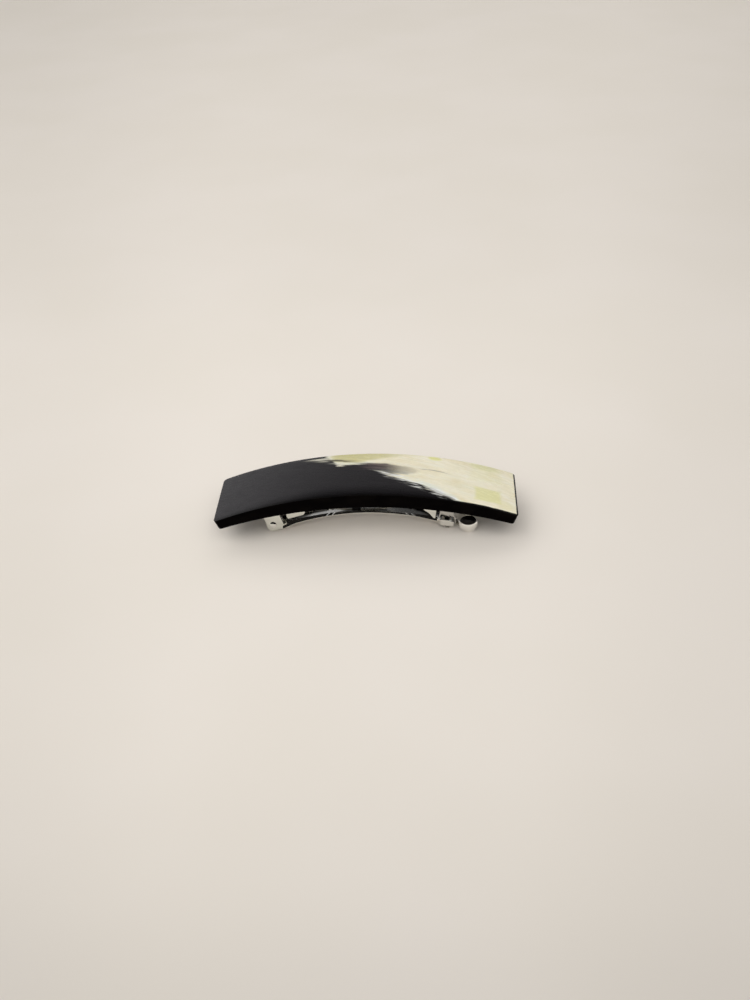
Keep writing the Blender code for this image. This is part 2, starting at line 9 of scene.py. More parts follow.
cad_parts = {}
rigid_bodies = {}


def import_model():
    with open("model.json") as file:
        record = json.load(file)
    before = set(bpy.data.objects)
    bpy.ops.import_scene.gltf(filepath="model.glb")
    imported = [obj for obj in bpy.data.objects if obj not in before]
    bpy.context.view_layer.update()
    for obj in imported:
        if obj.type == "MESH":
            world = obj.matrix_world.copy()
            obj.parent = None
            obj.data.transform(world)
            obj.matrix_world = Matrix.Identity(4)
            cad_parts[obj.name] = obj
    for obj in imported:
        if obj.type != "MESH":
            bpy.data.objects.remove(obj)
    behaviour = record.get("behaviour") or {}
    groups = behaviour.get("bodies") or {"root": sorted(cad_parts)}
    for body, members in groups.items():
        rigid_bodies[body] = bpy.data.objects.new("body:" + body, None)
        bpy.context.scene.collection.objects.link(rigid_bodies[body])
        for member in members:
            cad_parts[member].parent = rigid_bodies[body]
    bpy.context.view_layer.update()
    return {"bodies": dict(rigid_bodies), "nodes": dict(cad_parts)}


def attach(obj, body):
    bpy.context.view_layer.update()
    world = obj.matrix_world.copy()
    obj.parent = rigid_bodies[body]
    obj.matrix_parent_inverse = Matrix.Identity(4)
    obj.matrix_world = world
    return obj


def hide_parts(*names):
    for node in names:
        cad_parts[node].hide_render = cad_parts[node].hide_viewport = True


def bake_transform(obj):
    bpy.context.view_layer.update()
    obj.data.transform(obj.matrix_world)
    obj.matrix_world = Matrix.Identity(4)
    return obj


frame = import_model()

MM = 0.001
CROWN = 20.81             # crown of the plate above the table, mm

scene = bpy.context.scene
work = bpy.data.collections.new("barrette_looks")
scene.collection.children.link(work)


# =====================================================================
# modelling helpers (millimetres below the crown -> world metres)
# =====================================================================
def place(x, y, z):
    return Vector((x, y, z + CROWN)) * MM


def add(name, mesh, mat=None):
    obj = bpy.data.objects.new(name, mesh)
    work.objects.link(obj)
    if mat is not None:
        obj.data.materials.clear()
        obj.data.materials.append(mat)
    return obj


def bake(obj, name=None, weld=0.0, sharp=35.0):
    """Evaluated mesh of obj as a plain object, smooth with sharp creases."""
    bpy.context.view_layer.update()
    deps = bpy.context.evaluated_depsgraph_get()
    mesh = bpy.data.meshes.new_from_object(obj.evaluated_get(deps), preserve_all_data_layers=True, depsgraph=deps)
    mesh.transform(obj.matrix_world)
    if weld:
        bm = bmesh.new()
        bm.from_mesh(mesh)
        bmesh.ops.remove_doubles(bm, verts=bm.verts, dist=weld)
        bmesh.ops.recalc_face_normals(bm, faces=bm.faces)
        bm.to_mesh(mesh)
        bm.free()
    mesh.polygons.foreach_set("use_smooth", [True] * len(mesh.polygons))
    mesh.set_sharp_from_angle(angle=math.radians(sharp))
    label = name or obj.name
    bpy.data.objects.remove(obj, do_unlink=True)
    mesh.name = label
    new = bpy.data.objects.new(label, mesh)
    work.objects.link(new)
    return new


def combine(target, other, operation):
    mod = target.modifiers.new(other.name, "BOOLEAN")
    mod.operation = operation
    mod.solver = "EXACT"
    mod.object = other
    other.hide_render = True
    return other


def ease(obj, width, segments=2, angle=38.0):
    mod = obj.modifiers.new("Ease", "BEVEL")
    mod.width = width * MM
    mod.segments = segments
    mod.limit_method = "ANGLE"
    mod.angle_limit = math.radians(angle)
    mod.harden_normals = False
    mod.use_clamp_overlap = True
    return mod


def prism(name, outlines, thickness, rotation, location, mat=None):
    curve = bpy.data.curves.new(name + "_outline", "CURVE")
    curve.dimensions = "2D"
    curve.fill_mode = "BOTH"
    curve.extrude = thickness * MM / 2.0
    for outline in outlines:
        spline = curve.splines.new("POLY")
        spline.points.add(len(outline) - 1)
        for point, (a, b) in zip(spline.points, outline):
            point.co = (a * MM, b * MM, 0.0, 1.0)
        spline.use_cyclic_u = True
    holder = bpy.data.objects.new(name + "_curve", curve)
    work.objects.link(holder)
    bpy.context.view_layer.update()
    deps = bpy.context.evaluated_depsgraph_get()
    mesh = bpy.data.meshes.new_from_object(holder.evaluated_get(deps))
    bpy.data.objects.remove(holder, do_unlink=True)
    bm = bmesh.new()
    bm.from_mesh(mesh)
    bmesh.ops.remove_doubles(bm, verts=bm.verts, dist=1e-7)
    bmesh.ops.dissolve_limit(bm, angle_limit=math.radians(0.5), verts=bm.verts, edges=bm.edges)
    bmesh.ops.transform(bm, matrix=Matrix.Translation(location) @ rotation.to_4x4(), verts=bm.verts)
    bmesh.ops.recalc_face_normals(bm, faces=bm.faces)
    bm.to_mesh(mesh)
    bm.free()
    return add(name, mesh, mat)


STANDING = Euler((math.radians(90.0), 0.0, 0.0)).to_matrix()
LYING = Matrix.Identity(3)


def wall(name, outlines, y_near, y_far, mat=None):
    centre = (y_near + y_far) / 2.0
    return prism(name, outlines, abs(y_far - y_near), STANDING, place(0.0, centre, 0.0), mat)


def sheet(name, stations, section, thickness, keep=None, mat=None):
    rows = [section(s) for s in stations]
    n_u, n_v = len(rows) - 1, len(rows[0]) - 1
    bm = bmesh.new()
    bmesh.ops.create_grid(bm, x_segments=n_u, y_segments=n_v, size=0.5)
    cell = {v: (round((v.co.x + 0.5) * n_u), round((v.co.y + 0.5) * n_v)) for v in bm.verts}
    if keep is not None:
        doomed = [f for f in bm.faces
                  if not keep(min(cell[v][0] for v in f.verts), min(cell[v][1] for v in f.verts))]
        bmesh.ops.delete(bm, geom=doomed, context="FACES")
    for vert in bm.verts:
        i, j = cell[vert]
        vert.co = place(*rows[i][j])
    mesh = bpy.data.meshes.new(name)
    bm.to_mesh(mesh)
    bm.free()
    obj = add(name, mesh, mat)
    solid = obj.modifiers.new("Thickness", "SOLIDIFY")
    solid.thickness = thickness * MM
    solid.offset = 0.0
    solid.use_even_offset = True
    return obj


def arc(cx, cz, radius, a0, a1, count):
    return [(cx + radius * math.cos(math.radians(a0 + (a1 - a0) * k / count)),
             cz + radius * math.sin(math.radians(a0 + (a1 - a0) * k / count)))
            for k in range(count + 1)]


def rounded(points, radius, steps=4):
    """Outline with its corners rounded; radius may be one value or one per point."""
    out = []
    n = len(points)
    for k in range(n):
        r = radius[k] if isinstance(radius, (list, tuple)) else radius
        p0, p1, p2 = (Vector((*points[(k + d) % n], 0.0)) for d in (-1, 0, 1))
        a, b = (p0 - p1), (p2 - p1)
        if r <= 0.0 or a.length < 1e-6 or b.length < 1e-6:
            out.append((p1.x, p1.y))
            continue
        angle = a.angle(b)
        if angle > math.radians(172.0):
            out.append((p1.x, p1.y))
            continue
        cut = min(r / math.tan(angle / 2.0), a.length * 0.48, b.length * 0.48)
        s, e = p1 + a.normalized() * cut, p1 + b.normalized() * cut
        for i in range(steps + 1):
            t = i / steps
            q = s * (1 - t) ** 2 + p1 * 2 * t * (1 - t) + e * t ** 2
            out.append((q.x, q.y))
    return out


def cylinder(name, radius, depth, centre, direction, segments=64):
    bm = bmesh.new()
    bmesh.ops.create_cone(bm, cap_ends=True, segments=segments, radius1=radius * MM,
                          radius2=radius * MM, depth=depth * MM)
    turn = Vector((0, 0, 1)).rotation_difference(Vector(direction)).to_matrix().to_4x4()
    bmesh.ops.transform(bm, matrix=Matrix.Translation(place(*centre)) @ turn, verts=bm.verts)
    mesh = bpy.data.meshes.new(name)
    bm.to_mesh(mesh)
    bm.free()
    return add(name, mesh)


def turned(name, profile, centre, direction, steps=72, mat=None):
    mesh = bpy.data.meshes.new(name)
    bm = bmesh.new()
    verts = [bm.verts.new((r * MM, 0.0, h * MM)) for r, h in profile]
    for a, b in zip(verts, verts[1:]):
        bm.edges.new((a, b))
    bm.to_mesh(mesh)
    bm.free()
    obj = add(name, mesh, mat)
    screw = obj.modifiers.new("Turn", "SCREW")
    screw.axis = "Z"
    screw.steps = steps
    screw.render_steps = steps
    screw.use_merge_vertices = True
    screw.merge_threshold = 0.000002
    screw.use_normal_calculate = True
    obj.location = place(*centre)
    obj.rotation_mode = "QUATERNION"
    obj.rotation_quaternion = Vector((0, 0, 1)).rotation_difference(Vector(direction))
    return obj


def smooth(t):
    t = max(0.0, min(1.0, t))
    return t * t * (3.0 - 2.0 * t)


def table(x, points):
    if x <= points[0][0]:
        return points[0][1]
    for (x0, v0), (x1, v1) in zip(points, points[1:]):
        if x <= x1:
            return v0 + (v1 - v0) * (x - x0) / (x1 - x0)
    return points[-1][1]


def soft_table(x, points):
    """Lookup with a smooth curve through the points (Catmull-Rom)."""
    if x <= points[0][0]:
        return points[0][1]
    if x >= points[-1][0]:
        return points[-1][1]
    for k in range(len(points) - 1):
        x0, x1 = points[k][0], points[k + 1][0]
        if x <= x1:
            v0, v1 = points[k][1], points[k + 1][1]
            before = points[k - 1] if k else (2 * x0 - x1, v0)
            after = points[k + 2] if k + 2 < len(points) else (2 * x1 - x0, v1)
            m0 = (v1 - before[1]) / (x1 - before[0]) * (x1 - x0)
            m1 = (after[1] - v0) / (after[0] - x0) * (x1 - x0)
            t = (x - x0) / (x1 - x0)
            return ((2 * t ** 3 - 3 * t ** 2 + 1) * v0 + (t ** 3 - 2 * t ** 2 + t) * m0
                    + (-2 * t ** 3 + 3 * t ** 2) * v1 + (t ** 3 - t ** 2) * m1)


def spread(values, step):
    """The values with extra ones between them, none further apart than step."""
    out = [values[0]]
    for a, b in zip(values, values[1:]):
        n = max(1, math.ceil(abs(b - a) / step - 1e-6))
        out += [a + (b - a) * k / n for k in range(1, n + 1)]
    return out


# =====================================================================
# node helpers
# =====================================================================
class Nodes:
    def __init__(self, name):
        self.mat = bpy.data.materials.new(name)
        self.mat.use_nodes = True
        self.tree = self.mat.node_tree
        self.bsdf = self.tree.nodes["Principled BSDF"]
        self.out = self.tree.nodes["Material Output"]

    def new(self, kind, **props):
        node = self.tree.nodes.new(kind)
        for key, value in props.items():
            setattr(node, key, value)
        return node

    def link(self, a, b):
        self.tree.links.new(a, b)

    def put(self, socket, value):
        if isinstance(value, bpy.types.NodeSocket):
            self.link(value, socket)
        elif value is not None:
            socket.default_value = value

    def math(self, op, a, b=None, c=None, clamp=False):
        node = self.new("ShaderNodeMath", operation=op, use_clamp=clamp)
        for socket, value in zip(node.inputs, (a, b, c)):
            self.put(socket, value)
        return node.outputs[0]

    def mix(self, factor, a, b):
        node = self.new("ShaderNodeMix", data_type="RGBA")
        self.put(node.inputs[0], factor)
        for socket, value in ((node.inputs[6], a), (node.inputs[7], b)):
            if isinstance(value, tuple):
                value = (*value, 1.0) if len(value) == 3 else value
            self.put(socket, value)
        return node.outputs[2]

    def range(self, value, a, b, c=0.0, d=1.0, kind="SMOOTHSTEP"):
        node = self.new("ShaderNodeMapRange", interpolation_type=kind)
        self.put(node.inputs[0], value)
        for k, v in enumerate((a, b, c, d)):
            self.put(node.inputs[k + 1], v)
        return node.outputs[0]

    def noise(self, vector, scale, detail=4.0, rough=0.55, distortion=0.0, w=None):
        node = self.new("ShaderNodeTexNoise")
        if w is not None:
            node.noise_dimensions = "4D"
            node.inputs["W"].default_value = w
        self.put(node.inputs["Vector"], vector)
        node.inputs["Scale"].default_value = scale
        node.inputs["Detail"].default_value = detail
        node.inputs["Roughness"].default_value = rough
        node.inputs["Distortion"].default_value = distortion
        return node.outputs[0]

    def position(self, scale=(1000.0, 1000.0, 1000.0), turn=(0.0, 0.0, 0.0)):
        """Object position in millimetres, stretched by scale/1000."""
        coord = self.new("ShaderNodeTexCoord")
        node = self.new("ShaderNodeMapping", vector_type="TEXTURE")
        node.inputs["Scale"].default_value = tuple(1.0 / s for s in scale)
        node.inputs["Rotation"].default_value = turn
        self.link(coord.outputs["Object"], node.inputs[0])
        return node.outputs[0]

    def curve(self, value, points, low, high):
        """Float curve: points are (value, result), both in real units; low and high bound the input."""
        top = max(p[1] for p in points)
        bottom = min(p[1] for p in points)
        node = self.new("ShaderNodeFloatCurve")
        line = node.mapping.curves[0]
        pts = [((p[0] - low) / (high - low), (p[1] - bottom) / (top - bottom)) for p in points]
        line.points[0].location = pts[0]
        line.points[1].location = pts[-1]
        for p in pts[1:-1]:
            line.points.new(*p)
        node.mapping.update()
        unit = self.math("DIVIDE", self.math("SUBTRACT", value, low), high - low, clamp=True)
        self.put(node.inputs["Value"], unit)
        return self.math("ADD", self.math("MULTIPLY", node.outputs[0], top - bottom), bottom)

    def bump(self, height, strength, distance, normal=None):
        node = self.new("ShaderNodeBump")
        node.inputs["Strength"].default_value = strength
        node.inputs["Distance"].default_value = distance
        self.put(node.inputs["Height"], height)
        if normal is not None:
            self.link(normal, node.inputs["Normal"])
        return node.outputs[0]


def srgb(r, g, b):
    out = []
    for c in (r, g, b):
        c = c / 255.0
        out.append(c / 12.92 if c <= 0.04045 else ((c + 0.055) / 1.055) ** 2.4)
    return tuple(out)


# =====================================================================
# materials
# =====================================================================
def horn_material():
    n = Nodes("horn_polished")
    pos = n.position()
    split = n.new("ShaderNodeSeparateXYZ")
    n.link(pos, split.inputs[0])
    x, y = split.outputs[0], split.outputs[1]
    depth_node = n.new("ShaderNodeAttribute", attribute_name="depth_mm")
    depth = depth_node.outputs["Fac"]

    # fibres run along the horn, a few degrees off the long axis
    slant = math.radians(-12.0)
    fibre = n.position((62.0, 520.0, 300.0), (0.0, 0.0, slant))
    fine = n.position((120.0, 1500.0, 900.0), (0.0, 0.0, slant))
    broad = n.position((60.0, 150.0, 100.0), (0.0, 0.0, slant))
    n_fibre = n.noise(fibre, 1.0, 3.0, 0.5, 0.25)
    n_fine = n.noise(fine, 1.0, 3.0, 0.5, 0.2)
    n_broad = n.noise(broad, 1.0, 3.0, 0.5, 0.4)
    wob = n.math("SUBTRACT", n_fibre, 0.5)
    fine_c = n.math("SUBTRACT", n_fine, 0.5)
    broad_c = n.math("SUBTRACT", n_broad, 0.5)

    # edge of the dark horn: y of the boundary against x, in mm
    edge = n.curve(x, [(-60.0, 17.5), (-36.0, 17.0), (-24.0, 16.0), (-17.0, 14.0), (-13.5, 11.3), (-11.5, 8.6),
                       (-9.0, 5.9), (-4.0, 4.9), (0.0, 3.9), (3.4, 2.5), (8.0, 0.2), (13.7, -3.0), (23.4, -7.7), (30.5, -12.0),
                       (34.0, -15.5), (60.0, -19.0)], -60.0, 60.0)
    gap = n.math("SUBTRACT", edge, y)                       # positive inside the dark horn
    # feathering is long where the streaks start, short elsewhere
    feather = n.curve(x, [(-60.0, 0.3), (-34.0, 4.0), (-18.0, 5.0), (-11.0, 4.6), (-4.0, 2.8), (0.0, 2.4), (6.0, 5.0),
                          (16.0, 6.5), (26.0, 6.5), (32.0, 4.0), (60.0, 1.0)], -60.0, 60.0)
    gap = n.math("ADD", gap, n.math("MULTIPLY", wob, feather))
    gap = n.math("ADD", gap, n.math("MULTIPLY", fine_c, n.math("MULTIPLY", feather, 0.55)))
    gap = n.math("ADD", gap, n.math("MULTIPLY", broad_c, 1.6))

    # dark finger that runs on into the pale horn
    half = n.curve(x, [(-60.0, 0.0), (-12.0, 0.8), (-6.0, 2.0), (-2.0, 2.4), (5.0, 2.6), (8.2, 3.1), (12.3, 2.6),
                       (17.0, 1.4), (20.5, 0.0), (26.0, -1.6), (60.0, -4.0)], -60.0, 60.0)
    middle = n.curve(x, [(-60.0, 5.0), (-12.0, 5.0), (-4.0, 3.9), (5.0, 3.8), (8.2, 3.1), (12.3, 2.5), (20.0, 3.2),
                         (30.0, 3.6), (60.0, 3.0)], -60.0, 60.0)
    away = n.math("ABSOLUTE", n.math("SUBTRACT", y, middle))
    finger = n.math("SUBTRACT", half, away)
    finger = n.math("ADD", finger, n.math("MULTIPLY", wob, 2.6))
    finger = n.math("ADD", finger, n.math("MULTIPLY", fine_c, 2.2))
    dark = n.range(gap, -1.0, 0.75)
    finger_dark = n.range(finger, -0.55, 0.7)
    # the finger is thinner horn, so it stays brown towards its tip
    finger_dark = n.math("MULTIPLY", finger_dark, n.curve(x, [(-60.0, 1.0), (4.0, 0.98), (8.2, 0.84), (12.3, 0.55),
                                                             (16.5, 0.3), (21.0, 0.0), (60.0, 0.0)], -60.0, 60.0))
    dark = n.math("MAXIMUM", dark, finger_dark)

    # black lines lie between the first pale streaks along the back edge
    along = n.position((45.0, 900.0, 300.0), (0.0, 0.0, math.radians(-1.0)))
    threads = n.noise(along, 1.0, 3.0, 0.55, 0.15)
    start = n.curve(x, [(-60.0, 13.0), (-30.0, 12.9), (-24.0, 11.6), (-18.0, 9.9), (-12.0, 7.4), (-8.0, 6.4), (60.0, 6.0)],
                    -60.0, 60.0)
    zone = n.math("MULTIPLY", n.range(n.math("SUBTRACT", y, start), -0.9, 1.4),
                  n.curve(x, [(-60.0, 0.0), (-33.0, 0.0), (-27.0, 0.75), (-19.0, 0.95), (-11.5, 1.0), (-8.0, 0.0),
                              (60.0, 0.0)], -60.0, 60.0))
    zone = n.math("MULTIPLY", zone, n.range(y, 12.1, 11.6))
    pull = n.range(threads, 0.47, 0.64)
    dark = n.math("MULTIPLY", dark, n.math("SUBTRACT", 1.0, n.math("MULTIPLY", n.math("MULTIPLY", zone, pull), 0.62)))
    # one dark streak reaches on along the olive band
    streak = n.curve(x, [(-60.0, 10.0), (-16.0, 9.7), (-12.0, 9.3), (-8.5, 8.8), (-4.0, 8.0), (60.0, 8.0)], -60.0, 60.0)
    streak = n.math("ABSOLUTE", n.math("SUBTRACT", y, streak))
    streak = n.math("ADD", streak, n.math("MULTIPLY", fine_c, 1.2))
    streak = n.math("MULTIPLY", n.range(streak, 0.3, 1.0, 1.0, 0.0),
                    n.curve(x, [(-60.0, 0.0), (-18.0, 0.0), (-14.0, 0.5), (-12.0, 0.85), (-8.0, 0.75), (-4.0, 0.2),
                                (-1.0, 0.0), (60.0, 0.0)], -60.0, 60.0))
    dark = n.math("MAXIMUM", dark, streak)
    # pale threads run back into the dark horn beside the tongue
    tongue = n.math("MULTIPLY", n.range(n.math("ABSOLUTE", n.math("SUBTRACT", gap, 0.6)), 0.3, 2.2, 1.0, 0.0),
                    n.curve(x, [(-60.0, 0.0), (3.5, 0.0), (7.0, 0.9), (12.0, 1.0), (27.0, 0.8), (31.0, 0.0),
                                (60.0, 0.0)], -60.0, 60.0))
    tongue = n.math("MULTIPLY", tongue, n.range(n_fine, 0.46, 0.6))
    dark = n.math("MULTIPLY", dark, n.math("SUBTRACT", 1.0, n.math("MULTIPLY", tongue, 0.75)))

    # thin grey hair-lines beyond the finger
    line = n.math("ABSOLUTE", n.math("SUBTRACT", y, n.curve(x, [(-60.0, 4.4), (18.0, 4.2), (30.0, 3.0), (60.0, 1.6)],
                                                           -60.0, 60.0)))
    line = n.math("ADD", line, n.math("MULTIPLY", fine_c, 0.7))
    line = n.math("MULTIPLY", n.range(line, 0.06, 0.3, 1.0, 0.0),
                  n.curve(x, [(-60.0, 0.0), (17.0, 0.0), (21.0, 0.55), (27.0, 0.5), (31.0, 0.0), (60.0, 0.0)],
                          -60.0, 60.0))

    # pale horn
    def bone(r, g, b):
        return tuple(min(0.95, 1.16 * c) for c in srgb(r, g, b))

    cream = bone(226, 219, 194)
    chalk = bone(232, 230, 218)
    olive = bone(190, 184, 136)
    straw = bone(214, 206, 158)
    lime = bone(212, 209, 152)
    grey_green = bone(206, 210, 192)
    pale = n.mix(n.range(n_broad, 0.38, 0.62), cream, bone(219, 210, 180))
    pale = n.mix(n.math("MULTIPLY", n.range(n_fibre, 0.42, 0.7), 0.4), pale, chalk)
    # cloudy green-grey near the dark edge
    near = n.range(gap, -5.5, -0.4)
    pale = n.mix(n.math("MULTIPLY", near, n.range(n_fibre, 0.4, 0.62, 0.15, 0.75)), pale, grey_green)
    white_rim = n.math("MULTIPLY", n.range(gap, -3.2, -0.6),
                       n.curve(x, [(-60.0, 0.45), (-2.0, 0.45), (6.0, 1.0), (60.0, 1.0)], -60.0, 60.0))
    pale = n.mix(n.math("MULTIPLY", white_rim, n.range(n_fine, 0.40, 0.58, 0.25, 0.95)), pale, bone(226, 227, 222))

    # olive band along the back edge
    band_low = n.curve(x, [(-60.0, 8.0), (-11.0, 7.0), (-3.0, 6.0), (1.0, 7.0), (5.0, 8.1), (10.0, 9.3), (17.0, 11.0), (60.0, 13.0)],
                       -60.0, 60.0)
    band = n.math("SUBTRACT", n.math("ADD", y, n.math("MULTIPLY", wob, 1.6)), band_low)
    band = n.range(band, 0.2, 2.2)
    band = n.math("MULTIPLY", band, n.curve(x, [(-60.0, 0.0), (-13.5, 0.1), (-9.5, 1.0), (4.0, 0.9), (10.0, 0.55),
                                                (15.0, 0.3), (22.0, 0.1), (60.0, 0.05)], -60.0, 60.0))
    band_colour = n.mix(n.range(y, 9.0, 12.2), n.mix(n.range(n_fibre, 0.35, 0.65), straw, olive), olive)
    band_colour = n.mix(n.range(n_fine, 0.4, 0.66, 0.0, 0.35), band_colour, bone(170, 160, 112))
    pale = n.mix(band, pale, band_colour)

    # yellow-green clouds towards the free end
    def cloud(cx, cy, rx, ry, strength, colour, base):
        dx = n.math("DIVIDE", n.math("SUBTRACT", x, cx), rx)
        dy = n.math("DIVIDE", n.math("SUBTRACT", y, cy), ry)
        d = n.math("SQRT", n.math("ADD", n.math("MULTIPLY", dx, dx), n.math("MULTIPLY", dy, dy)))
        d = n.math("ADD", d, n.math("MULTIPLY", broad_c, 1.1))
        return n.mix(n.math("MULTIPLY", n.range(d, 0.45, 1.1, 1.0, 0.0), strength), base, colour)

    def block(cx, cy, hx, hy, strength, colour, base):
        """Squarish patch with soft, slightly wandering sides."""
        dx = n.math("DIVIDE", n.math("ABSOLUTE", n.math("SUBTRACT", x, cx)), hx)
        dy = n.math("DIVIDE", n.math("ABSOLUTE", n.math("SUBTRACT", y, cy)), hy)
        d = n.math("ADD", n.math("MAXIMUM", dx, dy), n.math("MULTIPLY", broad_c, 0.7))
        return n.mix(n.math("MULTIPLY", n.range(d, 0.75, 1.12, 1.0, 0.0), strength), base, colour)

    pale = block(41.2, -5.0, 4.3, 3.5, 0.8, lime, pale)
    pale = block(41.0, 7.0, 5.6, 4.6, 0.35, bone(216, 212, 168), pale)
    pale = cloud(41.0, 11.2, 7.0, 2.3, 0.75, bone(204, 201, 156), pale)
    pale = cloud(23.6, 11.4, 2.6, 1.3, 0.9, bone(212, 209, 140), pale)
    pale = cloud(46.8, -8.5, 3.6, 2.6, 0.35, bone(214, 209, 158), pale)
    pale = cloud(32.0, -2.5, 6.0, 1.6, 0.35, bone(210, 206, 178), pale)
    # faint grey growth lines
    growth = n.math("MULTIPLY", n.range(n_fine, 0.58, 0.74), 0.10)
    pale = n.mix(growth, pale, bone(176, 170, 150))
    pale = n.mix(line, pale, srgb(120, 108, 96))

    # dark horn: brown-black, slightly warmer and purpler in the thin finger
    black = n.mix(n.range(n_broad, 0.35, 0.7), srgb(6, 4, 6), srgb(11, 8, 10))
    black = n.mix(n.math("MULTIPLY", n.range(n_fine, 0.58, 0.75), 0.2), black, srgb(26, 22, 22))
    plum = n.curve(x, [(-60.0, 0.0), (-6.0, 0.0), (2.0, 0.75), (14.0, 1.0), (24.0, 0.8), (60.0, 0.0)], -60.0, 60.0)
    plum = n.math("MULTIPLY", plum, n.range(y, 1.8, 3.6))
    black = n.mix(plum, black, n.mix(n.range(n_fibre, 0.35, 0.65), srgb(44, 31, 36), srgb(104, 90, 84)))
    # smoky translucent fringe on both sides of the boundary
    fringe = n.math("MULTIPLY", n.range(dark, 0.35, 0.97, 1.0, 0.0), n.range(dark, 0.05, 0.4))
    black = n.mix(n.math("MULTIPLY", fringe, 0.7), black, srgb(112, 104, 100))

    # below the skin the horn is dark everywhere
    skin = n.math("ADD", depth, n.math("MULTIPLY", broad_c, 0.8))
    skin = n.math("ADD", skin, n.math("MULTIPLY", fine_c, 0.35))
    core = n.range(skin, 0.42, 0.78)
    tip = n.range(n.math("ADD", n.math("ABSOLUTE", x), n.math("MULTIPLY", n_fine, 0.35)), 50.55, 50.75)
    core = n.math("MAXIMUM", core, tip)
    lip = n.math("ADD", y, n.math("MULTIPLY", wob, 1.1))
    core = n.math("MAXIMUM", core, n.range(lip, -11.15, -11.55))
    dark_all = n.math("MAXIMUM", dark, core)
    core_black = n.mix(n.range(n_fibre, 0.4, 0.7), srgb(3, 2, 2), srgb(8, 6, 5))
    black = n.mix(core, black, core_black)
    colour = n.mix(dark_all, pale, black)
    n.link(colour, n.bsdf.inputs["Base Color"])

    rough = n.math("ADD", n.range(n_fine, 0.3, 0.7, 0.20, 0.30), n.math("MULTIPLY", dark_all, 0.02))
    smear = n.noise(n.position((260.0, 300.0, 260.0)), 1.0, 4.0, 0.6)
    rough = n.math("ADD", rough, n.range(smear, 0.45, 0.75, 0.0, 0.09))
    n.link(rough, n.bsdf.inputs["Roughness"])
    n.bsdf.inputs["IOR"].default_value = 1.5
    # the sides are worked matt with a file, the top is buffed
    geo = n.new("ShaderNodeNewGeometry")
    facing = n.new("ShaderNodeSeparateXYZ")
    n.link(geo.outputs["True Normal"], facing.inputs[0])
    flat_top = n.range(facing.outputs[2], 0.55, 0.93)
    edge_fade = n.range(n.math("ADD", y, n.range(x, -48.0, -8.0, 3.5, 0.0)), -12.2, -5.0, 0.1, 1.0)
    gloss = n.math("MULTIPLY", n.math("MULTIPLY", flat_top, edge_fade), 0.46)
    gloss = n.math("ADD", gloss, 0.012)
    n.bsdf.inputs["Specular Tint"].default_value = (1.0, 0.93, 1.0, 1.0)
    n.link(gloss, n.bsdf.inputs["Specular IOR Level"])
    sss = n.math("MULTIPLY", n.math("SUBTRACT", 1.0, dark_all), 0.18)
    n.link(sss, n.bsdf.inputs["Subsurface Weight"])
    n.bsdf.inputs["Subsurface Radius"].default_value = (1.0, 0.85, 0.55)
    n.bsdf.inputs["Subsurface Scale"].default_value = 0.0012

    # polish: faint fibres and a few buffing scratches
    scratch = n.noise(n.position((160.0, 9000.0, 2400.0), (0.0, 0.0, math.radians(-7.0))), 1.0, 3.0, 0.7)
    height = n.math("ADD", n.math("MULTIPLY", n_fine, 0.6), n.math("MULTIPLY", n.range(scratch, 0.62, 0.78), 0.5))
    swell = n.noise(n.position((90.0, 180.0, 90.0)), 1.0, 2.0, 0.5)
    b1 = n.bump(height, 0.10, 0.00003)
    b2 = n.bump(swell, 0.18, 0.0002, b1)
    n.link(b2, n.bsdf.inputs["Normal"])
    return n.mat


def metal_material(name, tint, rough_low, rough_high, brushed=0.0, wear=0.25, dull=(0.42, 0.41, 0.38), spot=None,
                   shade=None):
    n = Nodes(name)
    fine = n.noise(n.position((900.0, 900.0, 900.0)), 1.0, 5.0, 0.65)
    cloudy = n.noise(n.position((170.0, 210.0, 210.0)), 1.0, 3.0, 0.5)
    drag = n.noise(n.position((220.0, 5200.0, 5200.0)), 1.0, 3.0, 0.6)
    tintc = n.mix(n.range(cloudy, 0.35, 0.7, 0.0, 0.3), tint, tuple(c * 0.86 for c in tint))
    # thin grime in pits and a little rubbed edge
    pits = n.range(fine, 0.64, 0.8, 0.0, wear)
    tintc = n.mix(pits, tintc, dull)
    geo = n.new("ShaderNodeNewGeometry")
    if spot is not None:                       # dark fleck along x: centre x and half-length, mm
        part = n.new("ShaderNodeSeparateXYZ")
        n.link(n.position(), part.inputs[0])
        off = n.math("ABSOLUTE", n.math("SUBTRACT", part.outputs[0], spot[0]))
        off = n.math("ADD", off, n.math("MULTIPLY", n.math("SUBTRACT", fine, 0.5), 0.5))
        tintc = n.mix(n.range(off, spot[1] - 0.25, spot[1] + 0.1, 1.0, 0.0), tintc, (0.012, 0.011, 0.01))
    if shade is not None:                      # painted shade: the colour is darkened where the curve is low; strength against x, mm
        part = n.new("ShaderNodeSeparateXYZ")
        n.link(n.position(), part.inputs[0])
        tintc = n.mix(n.curve(part.outputs[0], shade, -60.0, 60.0), (0.02, 0.018, 0.016), tintc)
    rub = n.range(geo.outputs["Pointiness"], 0.52, 0.6, 0.0, 0.35)
    tintc = n.mix(rub, tintc, tuple(min(1.0, c * 1.12) for c in tint))
    n.link(tintc, n.bsdf.inputs["Base Color"])
    n.bsdf.inputs["Metallic"].default_value = 1.0
    rough = n.range(cloudy, 0.3, 0.75, rough_low, rough_high, "LINEAR")
    rough = n.math("ADD", rough, n.range(fine, 0.6, 0.8, 0.0, 0.12))
    n.link(rough, n.bsdf.inputs["Roughness"])
    height = n.math("ADD", n.math("MULTIPLY", fine, 0.5), n.math("MULTIPLY", drag, brushed))
    n.link(n.bump(height, 0.12, 0.00002, n.bump(cloudy, 0.25, 0.00006)), n.bsdf.inputs["Normal"])
    return n.mat


